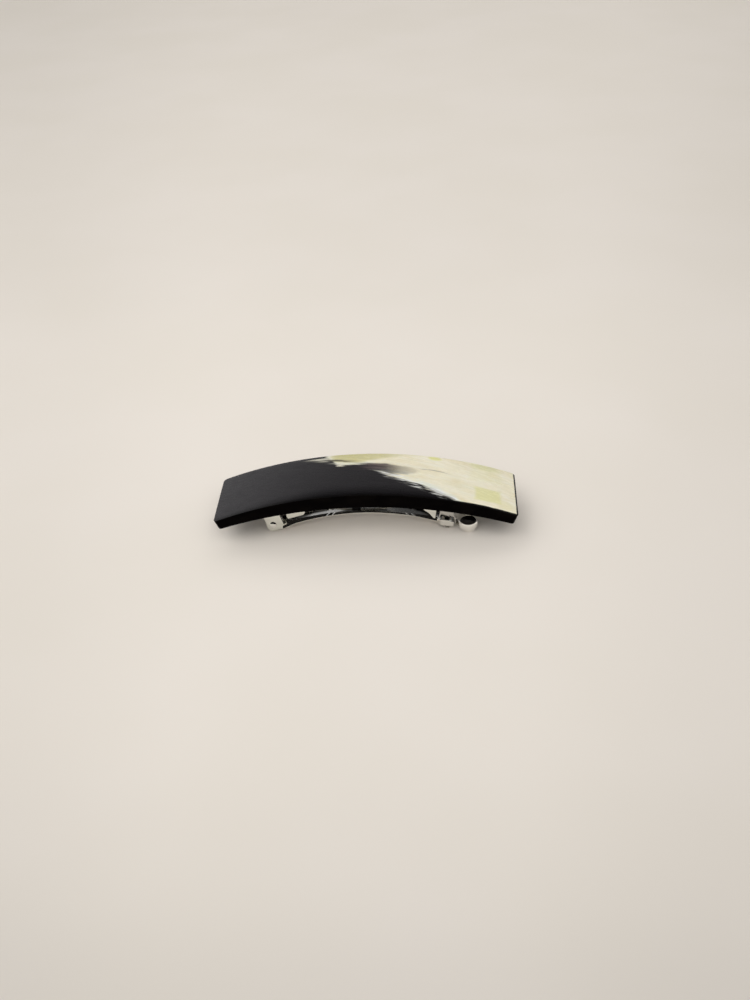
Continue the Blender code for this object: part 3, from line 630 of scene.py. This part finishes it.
def bond_material():
    n = Nodes("cured_adhesive")
    lump = n.noise(n.position((500.0, 500.0, 500.0)), 1.0, 3.0, 0.5)
    n.link(n.mix(n.range(lump, 0.35, 0.7), srgb(36, 32, 29), srgb(62, 56, 48)), n.bsdf.inputs["Base Color"])
    n.link(n.range(lump, 0.3, 0.7, 0.25, 0.5), n.bsdf.inputs["Roughness"])
    n.link(n.bump(lump, 0.5, 0.0002), n.bsdf.inputs["Normal"])
    return n.mat


HORN = horn_material()
NICKEL = metal_material("nickel_bright", (0.84, 0.845, 0.785), 0.07, 0.13)
PAD_NICKEL = metal_material("nickel_polished", (0.94, 0.93, 0.89), 0.03, 0.07, wear=0.12)
ARM_NICKEL = metal_material("nickel_pressed", (0.84, 0.83, 0.79), 0.07, 0.13, brushed=0.15)
# painted light and shade: the inside of the arm is a brighter copy of the pressed nickel, shaded darker towards both
# ends, where the tabs and leaf ends overhang it
ARM_INSIDE_PAINTED = metal_material("nickel_pressed_inside_painted", (0.95, 0.94, 0.91), 0.24, 0.32, brushed=0.3,
                            shade=[(-60.0, 0.0), (-26.0, 0.03), (-22.5, 0.15), (-20.0, 0.5), (-16.0, 0.92), (-6.0, 1.0),
                                   (2.0, 0.8), (8.0, 0.34), (16.0, 0.14), (60.0, 0.1)])
SPRING = metal_material("spring_temper", (0.36, 0.355, 0.335), 0.24, 0.34, brushed=0.8, spot=(-3.6, 1.6))
# painted shade: the catch blades are a darker, greyer copy of the pad's nickel, standing in for the shade they sit in
BLADE_SHADED = metal_material("catch_nickel_shaded", (0.55, 0.54, 0.51), 0.14, 0.22, brushed=0.6)
BOND = bond_material()


# =====================================================================
# horn plate
# =====================================================================
HALF_L, HALF_W, R1, R2, MID_T = 51.0, 12.4, 138.24, 155.28, 4.91
CORNER, EDGE = 1.3, 0.75
CENTRE_GAP = R1 - R2 - MID_T


def plate_half_width(x):
    inner = HALF_L - CORNER
    if abs(x) <= inner:
        return HALF_W
    d = min(abs(x) - inner, CORNER)
    return HALF_W - CORNER + math.sqrt(CORNER ** 2 - d * d)


def plate_radius(x, depth_share):
    angle = math.asin(x / R1)
    s, c = math.sin(angle), math.cos(angle)
    under = CENTRE_GAP * c + math.sqrt(R2 ** 2 - (CENTRE_GAP * s) ** 2)
    radius = R1 + (under - R1) * depth_share
    return radius * s, radius * c - R1, R1 - under


def build_plate():
    inner = HALF_L - CORNER
    corners = [inner + CORNER * math.sin(math.radians(a)) for a in (9, 18, 27, 36, 45, 54, 63, 72, 81, 90)]
    xs = [-v for v in reversed(corners)] + [inner * (k / 48.0 * 2.0 - 1.0) for k in range(49)] + corners
    n_u, n_v = len(xs) - 1, 14
    bm = bmesh.new()
    bmesh.ops.create_grid(bm, x_segments=n_u, y_segments=n_v, size=0.5)
    top = list(bm.verts)
    where = {v: (round((v.co.x + 0.5) * n_u), round((v.co.y + 0.5) * n_v)) for v in top}
    lifted = bmesh.ops.extrude_face_region(bm, geom=list(bm.faces))
    low = [g for g in lifted["geom"] if isinstance(g, bmesh.types.BMVert)]
    where_low = {v: (round((v.co.x + 0.5) * n_u), round((v.co.y + 0.5) * n_v)) for v in low}
    for group, lookup, share in ((top, where, 0.0), (low, where_low, 1.0)):
        for v in group:
            i, j = lookup[v]
            x = xs[i]
            y = (j / n_v * 2.0 - 1.0) * plate_half_width(x)
            px, pz, _ = plate_radius(x, share)
            if share == 0.0:
                pz -= 0.10 * (y / HALF_W) ** 2       # polished by hand: barely crowned
            v.co = place(px, y, pz)
    bmesh.ops.recalc_face_normals(bm, faces=bm.faces)
    mesh = bpy.data.meshes.new("plate_raw")
    bm.to_mesh(mesh)
    bm.free()
    obj = add("plate_raw", mesh, HORN)
    mod = ease(obj, EDGE, 6, 50.0)
    mod.profile = 0.5
    obj = bake(obj, "horn_plate_finish", sharp=60.0)
    depth = obj.data.attributes.new("depth_mm", "FLOAT", "POINT")
    values = []
    for v in obj.data.vertices:
        x, z = v.co.x / MM, v.co.z / MM - CROWN
        r = math.hypot(x, z + R1)
        values.append(R1 - r)
    depth.data.foreach_set("value", values)
    return obj


plate = build_plate()
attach(plate, "base")
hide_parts("horn_plate")

# =====================================================================
# base strip with ears and tabs
# =====================================================================
STRIP_R, STRIP_TOP, STRIP_T, STRIP_HW, STRIP_HL, STRIP_C = 82.0, -5.55, 0.6, 4.5, 38.6, 3.4
PIN_X, PIN_Z, PIN_R, PIN_HOLE = -32.4, -17.55, 0.75, 0.85
EAR_OUT, EAR_T = 4.48, 0.6


def strip_z(x, shift=0.0):
    return STRIP_TOP - STRIP_R + math.sqrt((STRIP_R + shift) ** 2 - x * x)


def strip_half_width(x):
    d = abs(x) - (STRIP_HL - STRIP_C)
    if d <= 0.0:
        return STRIP_HW
    return STRIP_HW - STRIP_C + math.sqrt(max(STRIP_C ** 2 - d * d, 0.0))


def strip_normal(x):
    angle = math.asin(x / STRIP_R)
    return math.sin(angle), 0.0, math.cos(angle)


inner_end = STRIP_HL - STRIP_C
corners = [inner_end + STRIP_C * math.sin(math.radians(a)) for a in (10, 20, 30, 40, 50, 60, 70, 80, 90)]
strip_x = [-v for v in reversed(corners)] + [inner_end * (k / 36.0 * 2.0 - 1.0) for k in range(37)] + corners
strip = sheet("strip_raw", strip_x,
              lambda x: [(x, f * strip_half_width(x), strip_z(x)) for f in (-1.0, -0.5, 0.0, 0.5, 1.0)],
              STRIP_T, mat=NICKEL)
ear_outline = (
    [(-35.5, strip_z(-35.5) + 0.05), (-35.4, strip_z(-35.4) - 1.2), (-35.0, -15.3), (-34.6, -18.1)]
    + arc(-32.55, -18.0, 2.15, 205.0, 300.0, 16)
    + [(-30.1, -19.3), (-28.85, -17.7), (-28.75, -17.2), (-29.75, -13.6), (-29.9, strip_z(-29.9) + 0.05)]
)
left_tab = [(-27.6, strip_z(-27.6) + 0.05), (-27.4, -13.9), (-27.0, -14.9), (-21.6, -13.35),
            (-21.0, -12.6), (-20.8, strip_z(-20.8) + 0.05)]
right_tab = [(19.4, strip_z(19.4) + 0.05), (19.6, -12.2), (21.3, -13.6), (22.75, -15.7),
             (23.35, -15.9), (23.75, -13.2), (23.8, strip_z(23.8) + 0.05)]
tools = []
for side in (-1.0, 1.0):
    inner = EAR_OUT - EAR_T
    for outline in (ear_outline, left_tab, right_tab):
        piece = wall("strip_tool_%d" % len(tools), [rounded(outline, 0.14, 3)], side * inner, side * EAR_OUT, NICKEL)
        tools.append(combine(strip, piece, "UNION"))
tools.append(combine(strip, cylinder("strip_pin_bore", PIN_HOLE, 12.0, (PIN_X, 0, PIN_Z), (0, 1, 0)), "DIFFERENCE"))
for x in (-36.3, 36.3):
    tools.append(combine(strip, cylinder("strip_end_hole_%d" % int(x), 1.25, 4.0, (x, 0, strip_z(x)),
                                         strip_normal(x)), "DIFFERENCE"))
RIVET_X = 27.6
tools.append(combine(strip, cylinder("strip_rivet_hole", 0.97, 3.0, (RIVET_X, 0, strip_z(RIVET_X)),
                                     strip_normal(RIVET_X)), "DIFFERENCE"))
ease(strip, 0.09, 2, 40.0)
strip = bake(strip, "base_strip_finish")
for tool in tools:
    bpy.data.objects.remove(tool, do_unlink=True)
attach(strip, "base")
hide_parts("base_strip")

# hinge pin with two domed heads
half = EAR_OUT


def pin_head(sign):
    pts = [(1.25 * math.sin(math.radians(a)), half + 0.08 + 0.47 * math.cos(math.radians(a)))
           for a in (0, 12, 24, 36, 48, 60, 72, 84, 90)]
    pts += [(1.25, half + 0.03), (PIN_R, half + 0.03)]
    return [(r, h * sign) for r, h in pts]


pin = turned("pin_raw", pin_head(1.0) + list(reversed(pin_head(-1.0))), (PIN_X, 0.0, PIN_Z), (0, 1, 0), mat=PAD_NICKEL)
pin = bake(pin, "hinge_pin_finish", weld=1e-7)
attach(pin, "base")
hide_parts("hinge_pin")

# =====================================================================
# clasp arm
# =====================================================================
ARM_R, ARM_LOW, ARM_T, ARM_CROWN_X = 75.0, -14.88, 0.5, -0.5
ARM_HW, ARM_HINGE_HW, ARM_END_HW = 2.75, 3.55, 4.5
FLARE_0, FLARE_1, WEB_0, ARM_END = 24.1, 25.3, -30.4, 29.6
WIN_0, WIN_1, WIN_HW, LOBE = 25.6, 28.9, 3.7, 2.2
ARM_LEAN = 0.5            # inward lean of the side walls, as a slope


def web_arch(x):
    return ARM_LOW - ARM_R + math.sqrt(ARM_R ** 2 - (x - ARM_CROWN_X) ** 2)


WEB_HEEL = [(-31.4, -20.05), (-30.4, -20.35), (-29.2, -20.40), (-27.0, -19.35), (-25.0, -18.5),
            (-22.5, -17.98), (-20.0, web_arch(-20.0))]
WEB_TAIL = [(17.0, web_arch(17.0)), (20.0, -17.8), (22.0, -18.4), (24.0, -18.95), (26.0, -19.35),
            (28.0, -19.7), (29.6, -19.95)]


def web_low(x):
    if x < -20.0:
        return soft_table(x, WEB_HEEL)
    if x > 17.0:
        return soft_table(x, WEB_TAIL)
    return web_arch(x)


WALL_HEIGHT = [(-29.0, 3.4), (-26.5, 2.4), (-24.6, 1.9), (-21.0, 1.6), (-16.0, 1.5), (-12.0, 1.45),
               (-7.0, 1.35), (0.0, 1.25), (10.0, 1.15), (16.0, 1.25), (20.0, 1.6), (23.0, 1.9),
               (24.6, 2.1), (25.4, 2.7), (29.6, 2.7)]


def wall_top(x):
    if x < -29.0:
        lobe = math.sqrt(max(LOBE ** 2 - (x - PIN_X) ** 2, 0.0))
        reach = PIN_Z + (lobe if x < PIN_X else LOBE)
        mix = smooth((x + 31.5) / 2.5)
        return reach * (1.0 - mix) + (web_low(-29.0) + WALL_HEIGHT[0][1]) * mix
    top = web_low(x) + soft_table(x, WALL_HEIGHT)
    if x > 28.0:
        top -= 0.25 * (x - 28.0)
    return top


def wall_low(x):
    if x < PIN_X:
        return PIN_Z - math.sqrt(max(LOBE ** 2 - (x - PIN_X) ** 2, 0.0))
    if x < WEB_0:
        return table(x, [(PIN_X, PIN_Z - LOBE), (WEB_0, web_low(WEB_0))])
    return web_low(x)


def arm_half_width(x):
    if x < -20.0:
        return ARM_HW + (ARM_HINGE_HW - ARM_HW) * smooth((-20.0 - x) / 7.0)
    t = (x - FLARE_0) / (FLARE_1 - FLARE_0)
    return ARM_HW + (ARM_END_HW - ARM_HW) * max(0.0, min(1.0, t))


def arm_row(x):
    h = ARM_T / 2.0
    w = arm_half_width(x) - h
    low, top = wall_low(x) + h, wall_top(x)
    bend = 0.45
    if x < WEB_0:
        low -= h
    lean = ARM_LEAN * (top - low - bend) * smooth((x + 30.6) / 1.4) * smooth((24.9 - x) / 1.0)
    side = [(w - lean, top), (w - lean * 0.5, (top + low + bend) / 2.0), (w, low + bend)]
    side += [(w - bend + bend * math.cos(math.radians(a)), low + bend - bend * math.sin(math.radians(a)))
             for a in (22.5, 45.0, 67.5, 90.0)]
    inner = min(WIN_HW, w - bend - 0.04)
    row = [(x, -a, b) for a, b in side] + [(x, -inner, low), (x, 0.0, low), (x, inner, low)]
    return row + [(x, a, b) for a, b in reversed(side)]


lobe_x = [PIN_X - LOBE * math.cos(math.radians(a)) for a in (6, 14, 22, 30, 38, 46, 54, 62, 70, 78)]
arm_x = lobe_x + spread([PIN_X, -31.4, WEB_0, -29.8, -29.2, -28.1, -27.0, -25.8, -24.6, -20.0, 0.0, 17.0, 20.0,
                         23.2, FLARE_0, 24.6, FLARE_1, WIN_0, WIN_1, ARM_END], 1.15)


def arm_keep(i, j):
    x = (arm_x[i] + arm_x[i + 1]) / 2.0
    if x < WEB_0 and 2 <= j <= 13:
        return False
    if WIN_0 < x < WIN_1 and j in (7, 8):
        return False
    return True


arm = sheet("arm_raw", arm_x, arm_row, ARM_T, keep=arm_keep, mat=ARM_NICKEL)
tools = [combine(arm, cylinder("arm_bore", PIN_HOLE, 12.0, (PIN_X, 0, PIN_Z), (0, 1, 0)), "DIFFERENCE")]
for number, (x, lean) in enumerate(((-14.0, 48.0), (-12.0, 48.0), (14.3, -48.0), (16.3, -48.0))):
    bm = bmesh.new()
    bmesh.ops.create_cube(bm, size=1.0)
    bmesh.ops.scale(bm, vec=Vector((0.34, 9.0, 3.0)) * MM, verts=bm.verts)
    turn = Matrix.Rotation(math.radians(lean), 4, "Y")
    shift = Matrix.Translation(Vector((0.0, 0.0, 1.5)) * MM)
    bmesh.ops.transform(bm, matrix=Matrix.Translation(place(x, 0.0, web_low(x) + 0.75)) @ turn @ shift, verts=bm.verts)
    mesh = bpy.data.meshes.new("arm_slot_%d" % number)
    bm.to_mesh(mesh)
    bm.free()
    tools.append(combine(arm, add("arm_slot_%d" % number, mesh), "DIFFERENCE"))
ease(arm, 0.10, 2, 40.0)
arm = bake(arm, "clasp_arm_finish")
for tool in tools:
    bpy.data.objects.remove(tool, do_unlink=True)
arm.data.materials.clear()
arm.data.materials.append(ARM_NICKEL)
arm.data.materials.append(ARM_INSIDE_PAINTED)
# inner faces of the arm get the painted light and shade copy of its nickel
for face in arm.data.polygons:
    where = face.center / MM
    deep = where.z - CROWN
    within = abs(where.y) < arm_half_width(where.x) - ARM_T * 0.8
    facing_in = face.normal.z > 0.5 or face.normal.y * where.y < -0.5 * abs(where.y)
    face.material_index = 1 if within and facing_in and deep < wall_top(where.x) - 0.12 else 0
flat = arm.modifiers.new("Flat", "WEIGHTED_NORMAL")
flat.keep_sharp = True
flat.weight = 80
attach(arm, "clasp")
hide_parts("clasp_arm")

# =====================================================================
# leaf spring: two halves whose ends meet the strip, in place of the CAD leaf
# =====================================================================
LEAF_T, LEAF_HW, LEAF_L, LEAF_R, LEAF_GAP = 0.35, 1.5, -27.0, 23.2, 0.25
LEAF_LOW = ARM_LOW + ARM_T + LEAF_GAP + LEAF_T / 2.0


def leaf_z(x):
    end_x = LEAF_R if x > 0 else LEAF_L
    end_z = strip_z(end_x, -STRIP_T / 2.0) - LEAF_GAP - LEAF_T / 2.0
    t = x / end_x
    rise = end_z - LEAF_LOW
    flat = 0.86
    if t <= flat:
        return LEAF_LOW + rise * (t / flat) ** 2 * 0.93
    return LEAF_LOW + rise * (0.93 + 0.07 * (t - flat) / (1.0 - flat))


for label, x0, x1 in (("left", LEAF_L, 0.0), ("right", 0.0, LEAF_R)):
    xs = [x0 + (x1 - x0) * k / 30.0 for k in range(31)]
    leaf = sheet("leaf_raw_" + label, xs,
                 lambda x: [(x, f * LEAF_HW * (1.0 - 0.25 * smooth((abs(x) - 19.0) / 8.0)), leaf_z(x))
                            for f in (-1.0, -0.5, 0.0, 0.5, 1.0)], LEAF_T, mat=SPRING)
    ease(leaf, 0.06, 2, 40.0)
    leaf = bake(leaf, "tension_spring_" + label)
    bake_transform(leaf)
    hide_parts("tension_spring")

# =====================================================================
# catch: plate, rivet and two sprung arms with domed finger pads
# =====================================================================
CATCH_0, CATCH_1, CATCH_T = 24.3, 31.9, 0.4
PAD_C, PAD_R, PAD_TILT = (34.6, 5.6, -17.7), 3.1, math.radians(18.5)
plate_shift = -STRIP_T / 2.0 - 0.05 - CATCH_T / 2.0


def catch_row(x):
    w = 3.3 - 0.9 * smooth((x - 30.9) / 1.0)
    z = strip_z(x, plate_shift)
    return [(x, f * w, z) for f in (-1.0, -0.5, 0.0, 0.5, 1.0)]


catch_x = [CATCH_0 + (CATCH_1 - CATCH_0) * k / 16.0 for k in range(17)]
catch = sheet("catch_raw", catch_x, catch_row, CATCH_T, mat=SPRING)
tool = combine(catch, cylinder("catch_hole", 0.97, 3.0, (RIVET_X, 0, strip_z(RIVET_X)), strip_normal(RIVET_X)),
               "DIFFERENCE")
ease(catch, 0.06, 2, 40.0)
catch = bake(catch, "catch_plate_finish")
bpy.data.objects.remove(tool, do_unlink=True)
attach(catch, "base")
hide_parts("catch_plate")

stack_top = STRIP_T / 2.0 + 0.03
stack_low = plate_shift - CATCH_T / 2.0 - 0.03
rivet = turned("rivet_raw",
               [(0.0, stack_top + 0.36), (0.5, stack_top + 0.35), (0.95, stack_top + 0.30), (1.3, stack_top + 0.21),
                (1.46, stack_top + 0.12), (1.5, stack_top + 0.05), (1.5, stack_top), (0.9, stack_top),
                (0.9, stack_low), (1.5, stack_low), (1.5, stack_low - 0.05), (1.46, stack_low - 0.12),
                (1.3, stack_low - 0.22), (0.95, stack_low - 0.33), (0.5, stack_low - 0.38), (0.0, stack_low - 0.39)],
               (RIVET_X, 0.0, strip_z(RIVET_X)), strip_normal(RIVET_X), mat=NICKEL)
rivet = bake(rivet, "catch_rivet_finish", weld=1e-7)
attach(rivet, "base")
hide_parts("catch_rivet")


def catch_wall_top(x):
    return strip_z(x, plate_shift - CATCH_T / 2.0) - 0.3


catch_outline = (
    [(x, catch_wall_top(x)) for x in (25.7, 26.7, 27.7, 28.7, 29.6)]
    + [(29.75, -15.6), (30.35, -16.9), (30.9, -17.35), (30.9, -19.1), (30.1, -18.9), (29.95, -17.3),
       (29.3, -16.1), (28.35, -16.3), (28.15, -20.25), (27.7, -20.45), (26.9, -20.3), (26.55, -19.8),
       (26.5, -16.2), (25.9, -15.8), (25.15, -16.35), (24.6, -16.4)]
)
hook_outline = [(26.6, -19.72), (28.13, -20.12), (28.0, -20.44), (26.8, -20.36)]


def pad_profile():
    """Domed pressed disc: thin shell with a rolled rim."""
    reach = PAD_R - 0.06
    outer = [(0.0, 1.02)]
    for k in range(1, 15):
        r = reach * k / 14.0
        outer.append((r, 1.02 - 1.36 * (r / reach) ** 2.15))
    rim = [(PAD_R - 0.015, -0.385), (PAD_R, -0.42), (PAD_R - 0.01, -0.47), (PAD_R - 0.05, -0.50),
           (PAD_R - 0.12, -0.505), (PAD_R - 0.24, -0.49)]
    inner = [(2.65, -0.36), (2.15, -0.10), (1.6, 0.18), (1.1, 0.35), (0.6, 0.46), (0.0, 0.5)]
    return outer + rim + inner


for side, label in ((-1.0, "front"), (1.0, "back")):
    blade = wall("blade_raw_" + label, [rounded(catch_outline, 0.12, 3)], side * 2.8, side * 3.3, BLADE_SHADED)
    hook = wall("hook_tool_" + label, [hook_outline], side * 3.1, side * 4.08, NICKEL)
    plan = [(29.7, 2.86), (29.7, 3.24), (30.3, 3.26), (31.5, 5.1), (32.2, 5.9), (33.6, 6.0),
            (33.6, 5.35), (32.5, 5.3), (31.9, 4.7), (30.75, 2.86)]
    plan = [(x, side * y) for x, y in rounded(plan, 0.3, 3)]
    link = prism("link_tool_" + label, [plan], 1.75, LYING, place(0.0, 0.0, -18.25), BLADE_SHADED)
    outward = Vector((0.0, side * math.cos(PAD_TILT), math.sin(PAD_TILT)))
    pad = turned("pad_tool_" + label, pad_profile(), (PAD_C[0], side * PAD_C[1], PAD_C[2]), outward,
                 steps=96, mat=PAD_NICKEL)
    tools = [combine(blade, t, "UNION") for t in (hook, link, pad)]
    ease(blade, 0.06, 2, 40.0)
    blade = bake(blade, "catch_arm_%s_finish" % label)
    # the blade faces get the painted-shade nickel, the pad faces the bright one
    blade.data.materials.clear()
    blade.data.materials.append(BLADE_SHADED)
    blade.data.materials.append(PAD_NICKEL)
    hub = place(PAD_C[0], side * PAD_C[1], PAD_C[2])
    for face in blade.data.polygons:
        face.material_index = 1 if (face.center - hub).length < (PAD_R + 0.12) * MM else 0
    for t in tools:
        bpy.data.objects.remove(t, do_unlink=True)
    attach(blade, "catch_" + label)
    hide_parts("catch_arm_" + label)

# bonding pad keeps its CAD shape
bond = frame["nodes"]["bonding_pad"]
bond.data.materials.clear()
bond.data.materials.append(BOND)

# =====================================================================
# stage: pale table, soft light, camera
# =====================================================================
bm = bmesh.new()
bmesh.ops.create_grid(bm, x_segments=1, y_segments=1, size=3.0)
mesh = bpy.data.meshes.new("table")
bm.to_mesh(mesh)
bm.free()
floor = bpy.data.objects.new("table", mesh)
scene.collection.objects.link(floor)
n = Nodes("table_paper")
spot = n.new("ShaderNodeSeparateXYZ")
n.link(n.position(), spot.inputs[0])
fx, fy = spot.outputs[0], spot.outputs[1]
mottle = n.noise(n.position((12.0, 12.0, 12.0)), 1.0, 2.0, 0.5)
paper = n.mix(n.range(mottle, 0.3, 0.7), srgb(237, 229, 218), srgb(239, 231, 221))
# painted shade: the sheet darkens slowly towards its front edge and its sides, standing in for the lamps' falloff
painted_light_tone = n.curve(fy, [(-400.0, 0.72), (-250.0, 0.76), (-176.0, 0.86), (-126.0, 0.96), (-60.0, 1.0), (80.0, 1.0),
                    (271.0, 0.955), (800.0, 1.0), (1200.0, 1.0)], -400.0, 1200.0)
range_y = n.math("ADD", fy, 314.5)
reach = n.math("SQRT", n.math("ADD", n.math("MULTIPLY", range_y, range_y), 238.4 ** 2))
across = n.math("DIVIDE", n.math("ABSOLUTE", fx), reach)
painted_light_tone = n.math("MULTIPLY", painted_light_tone, n.range(across, 0.12, 0.34, 1.0, 0.93))
# painted reflection: glossy rays see the table fade to near black from 240 to 330 mm in front of the object, as if it
# ended there
path = n.new("ShaderNodeLightPath")
mirror_blackout = n.range(fy, -330.0, -240.0, 0.06, 1.0)
seen = n.math("ADD", n.math("MULTIPLY", path.outputs["Is Glossy Ray"], n.math("SUBTRACT", mirror_blackout, 1.0)), 1.0)
painted_light_tone = n.math("MULTIPLY", painted_light_tone, seen)
n.link(n.mix(painted_light_tone, (0.0, 0.0, 0.0), paper), n.bsdf.inputs["Base Color"])
n.bsdf.inputs["Roughness"].default_value = 0.9
n.bsdf.inputs["Specular IOR Level"].default_value = 0.05
floor.data.materials.append(n.mat)
# the open arm swings below the table's level: the table then gives way to the arm's free end
level = bpy.data.objects.new("table_level", None)
reach_mark = bpy.data.objects.new("arm_reach", None)
for mark in (level, reach_mark):
    scene.collection.objects.link(mark)
reach_mark.parent = frame["bodies"]["clasp"]
reach_mark.location = (0.036, 0.0, 0.001)
drop = floor.driver_add("location", 2).driver
drop.type = "MIN"
for mark in (level, reach_mark):
    height = drop.variables.new()
    height.type = "TRANSFORMS"
    height.targets[0].id = mark
    height.targets[0].transform_type = "LOC_Z"
    height.targets[0].transform_space = "WORLD_SPACE"


def area(name, size, location, target, energy, colour, mirrored=True):
    light = bpy.data.lights.new(name, "AREA")
    light.shape = "RECTANGLE"
    light.size, light.size_y = size
    light.energy = energy
    light.color = colour
    obj = bpy.data.objects.new(name, light)
    scene.collection.objects.link(obj)
    obj.location = location
    obj.rotation_euler = (Vector(target) - Vector(location)).to_track_quat("-Z", "Y").to_euler()
    obj.visible_glossy = mirrored
    return obj


area("soft_left", (0.6, 0.6), (-0.40, 0.0, 0.62), (0, 0, 0), 1.1, (1.0, 1.0, 1.0), mirrored=False)
area("soft_back", (0.6, 0.6), (0.0, 0.40, 0.62), (0, 0, 0), 0.36, (1.0, 1.0, 1.0), mirrored=False)
area("soft_overhead", (0.6, 0.6), (0.0, 0.0, 0.70), (0, 0, 0), 0.17, (1.0, 1.0, 1.0))

world = bpy.data.worlds.new("studio")
scene.world = world
world.use_nodes = True
wt = world.node_tree
bg = wt.nodes["Background"]
coord = wt.nodes.new("ShaderNodeTexCoord")
sep = wt.nodes.new("ShaderNodeSeparateXYZ")
wt.links.new(coord.outputs["Generated"], sep.inputs[0])
wx, wy, wz = sep.outputs


def world_range(source, a, b, c, d):
    node = wt.nodes.new("ShaderNodeMapRange")
    node.interpolation_type = "SMOOTHSTEP"
    wt.links.new(source, node.inputs[0])
    for k, v in enumerate((a, b, c, d)):
        node.inputs[k + 1].default_value = v
    return node.outputs[0]


def world_math(op, a, b):
    node = wt.nodes.new("ShaderNodeMath")
    node.operation = op
    for socket, value in zip(node.inputs, (a, b)):
        if isinstance(value, (int, float)):
            socket.default_value = value
        else:
            wt.links.new(value, socket)
    return node.outputs[0]


flat2 = world_math("ADD", world_math("MULTIPLY", wx, wx), world_math("MULTIPLY", wy, wy))
flat2 = world_math("MAXIMUM", flat2, 1e-6)


def lobe(axis, sign):
    part = world_math("MAXIMUM", world_math("MULTIPLY", axis, float(sign)), 0.0)
    return world_math("DIVIDE", world_math("MULTIPLY", part, part), flat2)


sides = {"back": lobe(wy, 1), "front": lobe(wy, -1), "left": lobe(wx, -1), "right": lobe(wx, 1)}
above_low = world_range(wz, 0.42, 0.70, 0.0, 1.0)
above_mid = world_range(wz, 0.87, 0.966, 0.0, 1.0)
rings = {"low": world_math("SUBTRACT", 1.0, above_low), "mid": world_math("SUBTRACT", above_low, above_mid),
         "high": above_mid}


def room(levels, top):
    """Brightness of the room by side and height: levels[(side, ring)], and the ceiling."""
    total = world_math("MULTIPLY", rings["high"], top)
    for (side, ring), value in levels.items():
        part = world_math("MULTIPLY", world_math("MULTIPLY", sides[side], rings[ring]), value)
        total = world_math("ADD", total, part)
    return total


def world_mix(factor, a, b):
    node = wt.nodes.new("ShaderNodeMix")
    node.data_type = "RGBA"
    wt.links.new(factor, node.inputs[0])
    for socket, value in ((node.inputs[6], a), (node.inputs[7], b)):
        if isinstance(value, tuple):
            socket.default_value = (*value, 1.0)
        else:
            wt.links.new(value, socket)
    return node.outputs[2]


# soft fill for the table and the horn
fill = room({("front", "mid"): 3.8, ("back", "mid"): 0.68, ("left", "mid"): 0.3, ("right", "mid"): 0.17,
             ("left", "low"): 0.45, ("right", "low"): 0.45}, 0.0)
# what the polished surfaces mirror: pale wall behind and left, dim room in front
mirror = room({("back", "low"): 0.60, ("left", "low"): 0.90, ("right", "low"): 0.35, ("front", "low"): 0.004,
               ("back", "mid"): 0.12, ("left", "mid"): 0.30, ("right", "mid"): 0.15, ("front", "mid"): 0.004}, 0.25)
rays = wt.nodes.new("ShaderNodeLightPath")
near = world_range(wy, -0.25, 0.25, 0.0, 1.0)
mirror = world_mix(near, (0.01, 0.009, 0.008), mirror)
light = world_mix(rays.outputs["Is Glossy Ray"], fill, mirror)
light = world_mix(rays.outputs["Is Camera Ray"], light, srgb(226, 218, 208))
wt.links.new(light, bg.inputs[0])
bg.inputs[1].default_value = 1.0

scene.view_settings.view_transform = "Standard"
scene.view_settings.look = "None"
scene.view_settings.exposure = 0.0

# the view: 36 degrees above level, a little off square, slightly rolled
yaw, roll, elevation = -0.0434, -0.0557, math.radians(36.0)
eye = Vector((3.5155, -382.31 * math.cos(elevation) - 8.7819 * math.sin(elevation),
              382.31 * math.sin(elevation) - 8.7819 * math.cos(elevation)))
right = Vector((1.0, 0.0, 0.0))
up = Vector((0.0, math.sin(elevation), math.cos(elevation)))
ahead = Vector((0.0, math.cos(elevation), -math.sin(elevation)))
turn_back = (Matrix.Rotation(yaw, 3, "Z") @ Matrix.Rotation(roll, 3, "Y")).inverted()
eye, right, up, ahead = (turn_back @ v for v in (eye, right, up, ahead))
cam_data = bpy.data.cameras.new("camera")
cam_data.sensor_width = 36.0
cam_data.lens = 40.88
cam_data.clip_start = 0.01
cam = bpy.data.objects.new("camera", cam_data)
scene.collection.objects.link(cam)
basis = Matrix((right, up, -ahead)).transposed().to_4x4()
cam.matrix_world = Matrix.Translation(place(*eye)) @ basis
scene.camera = cam
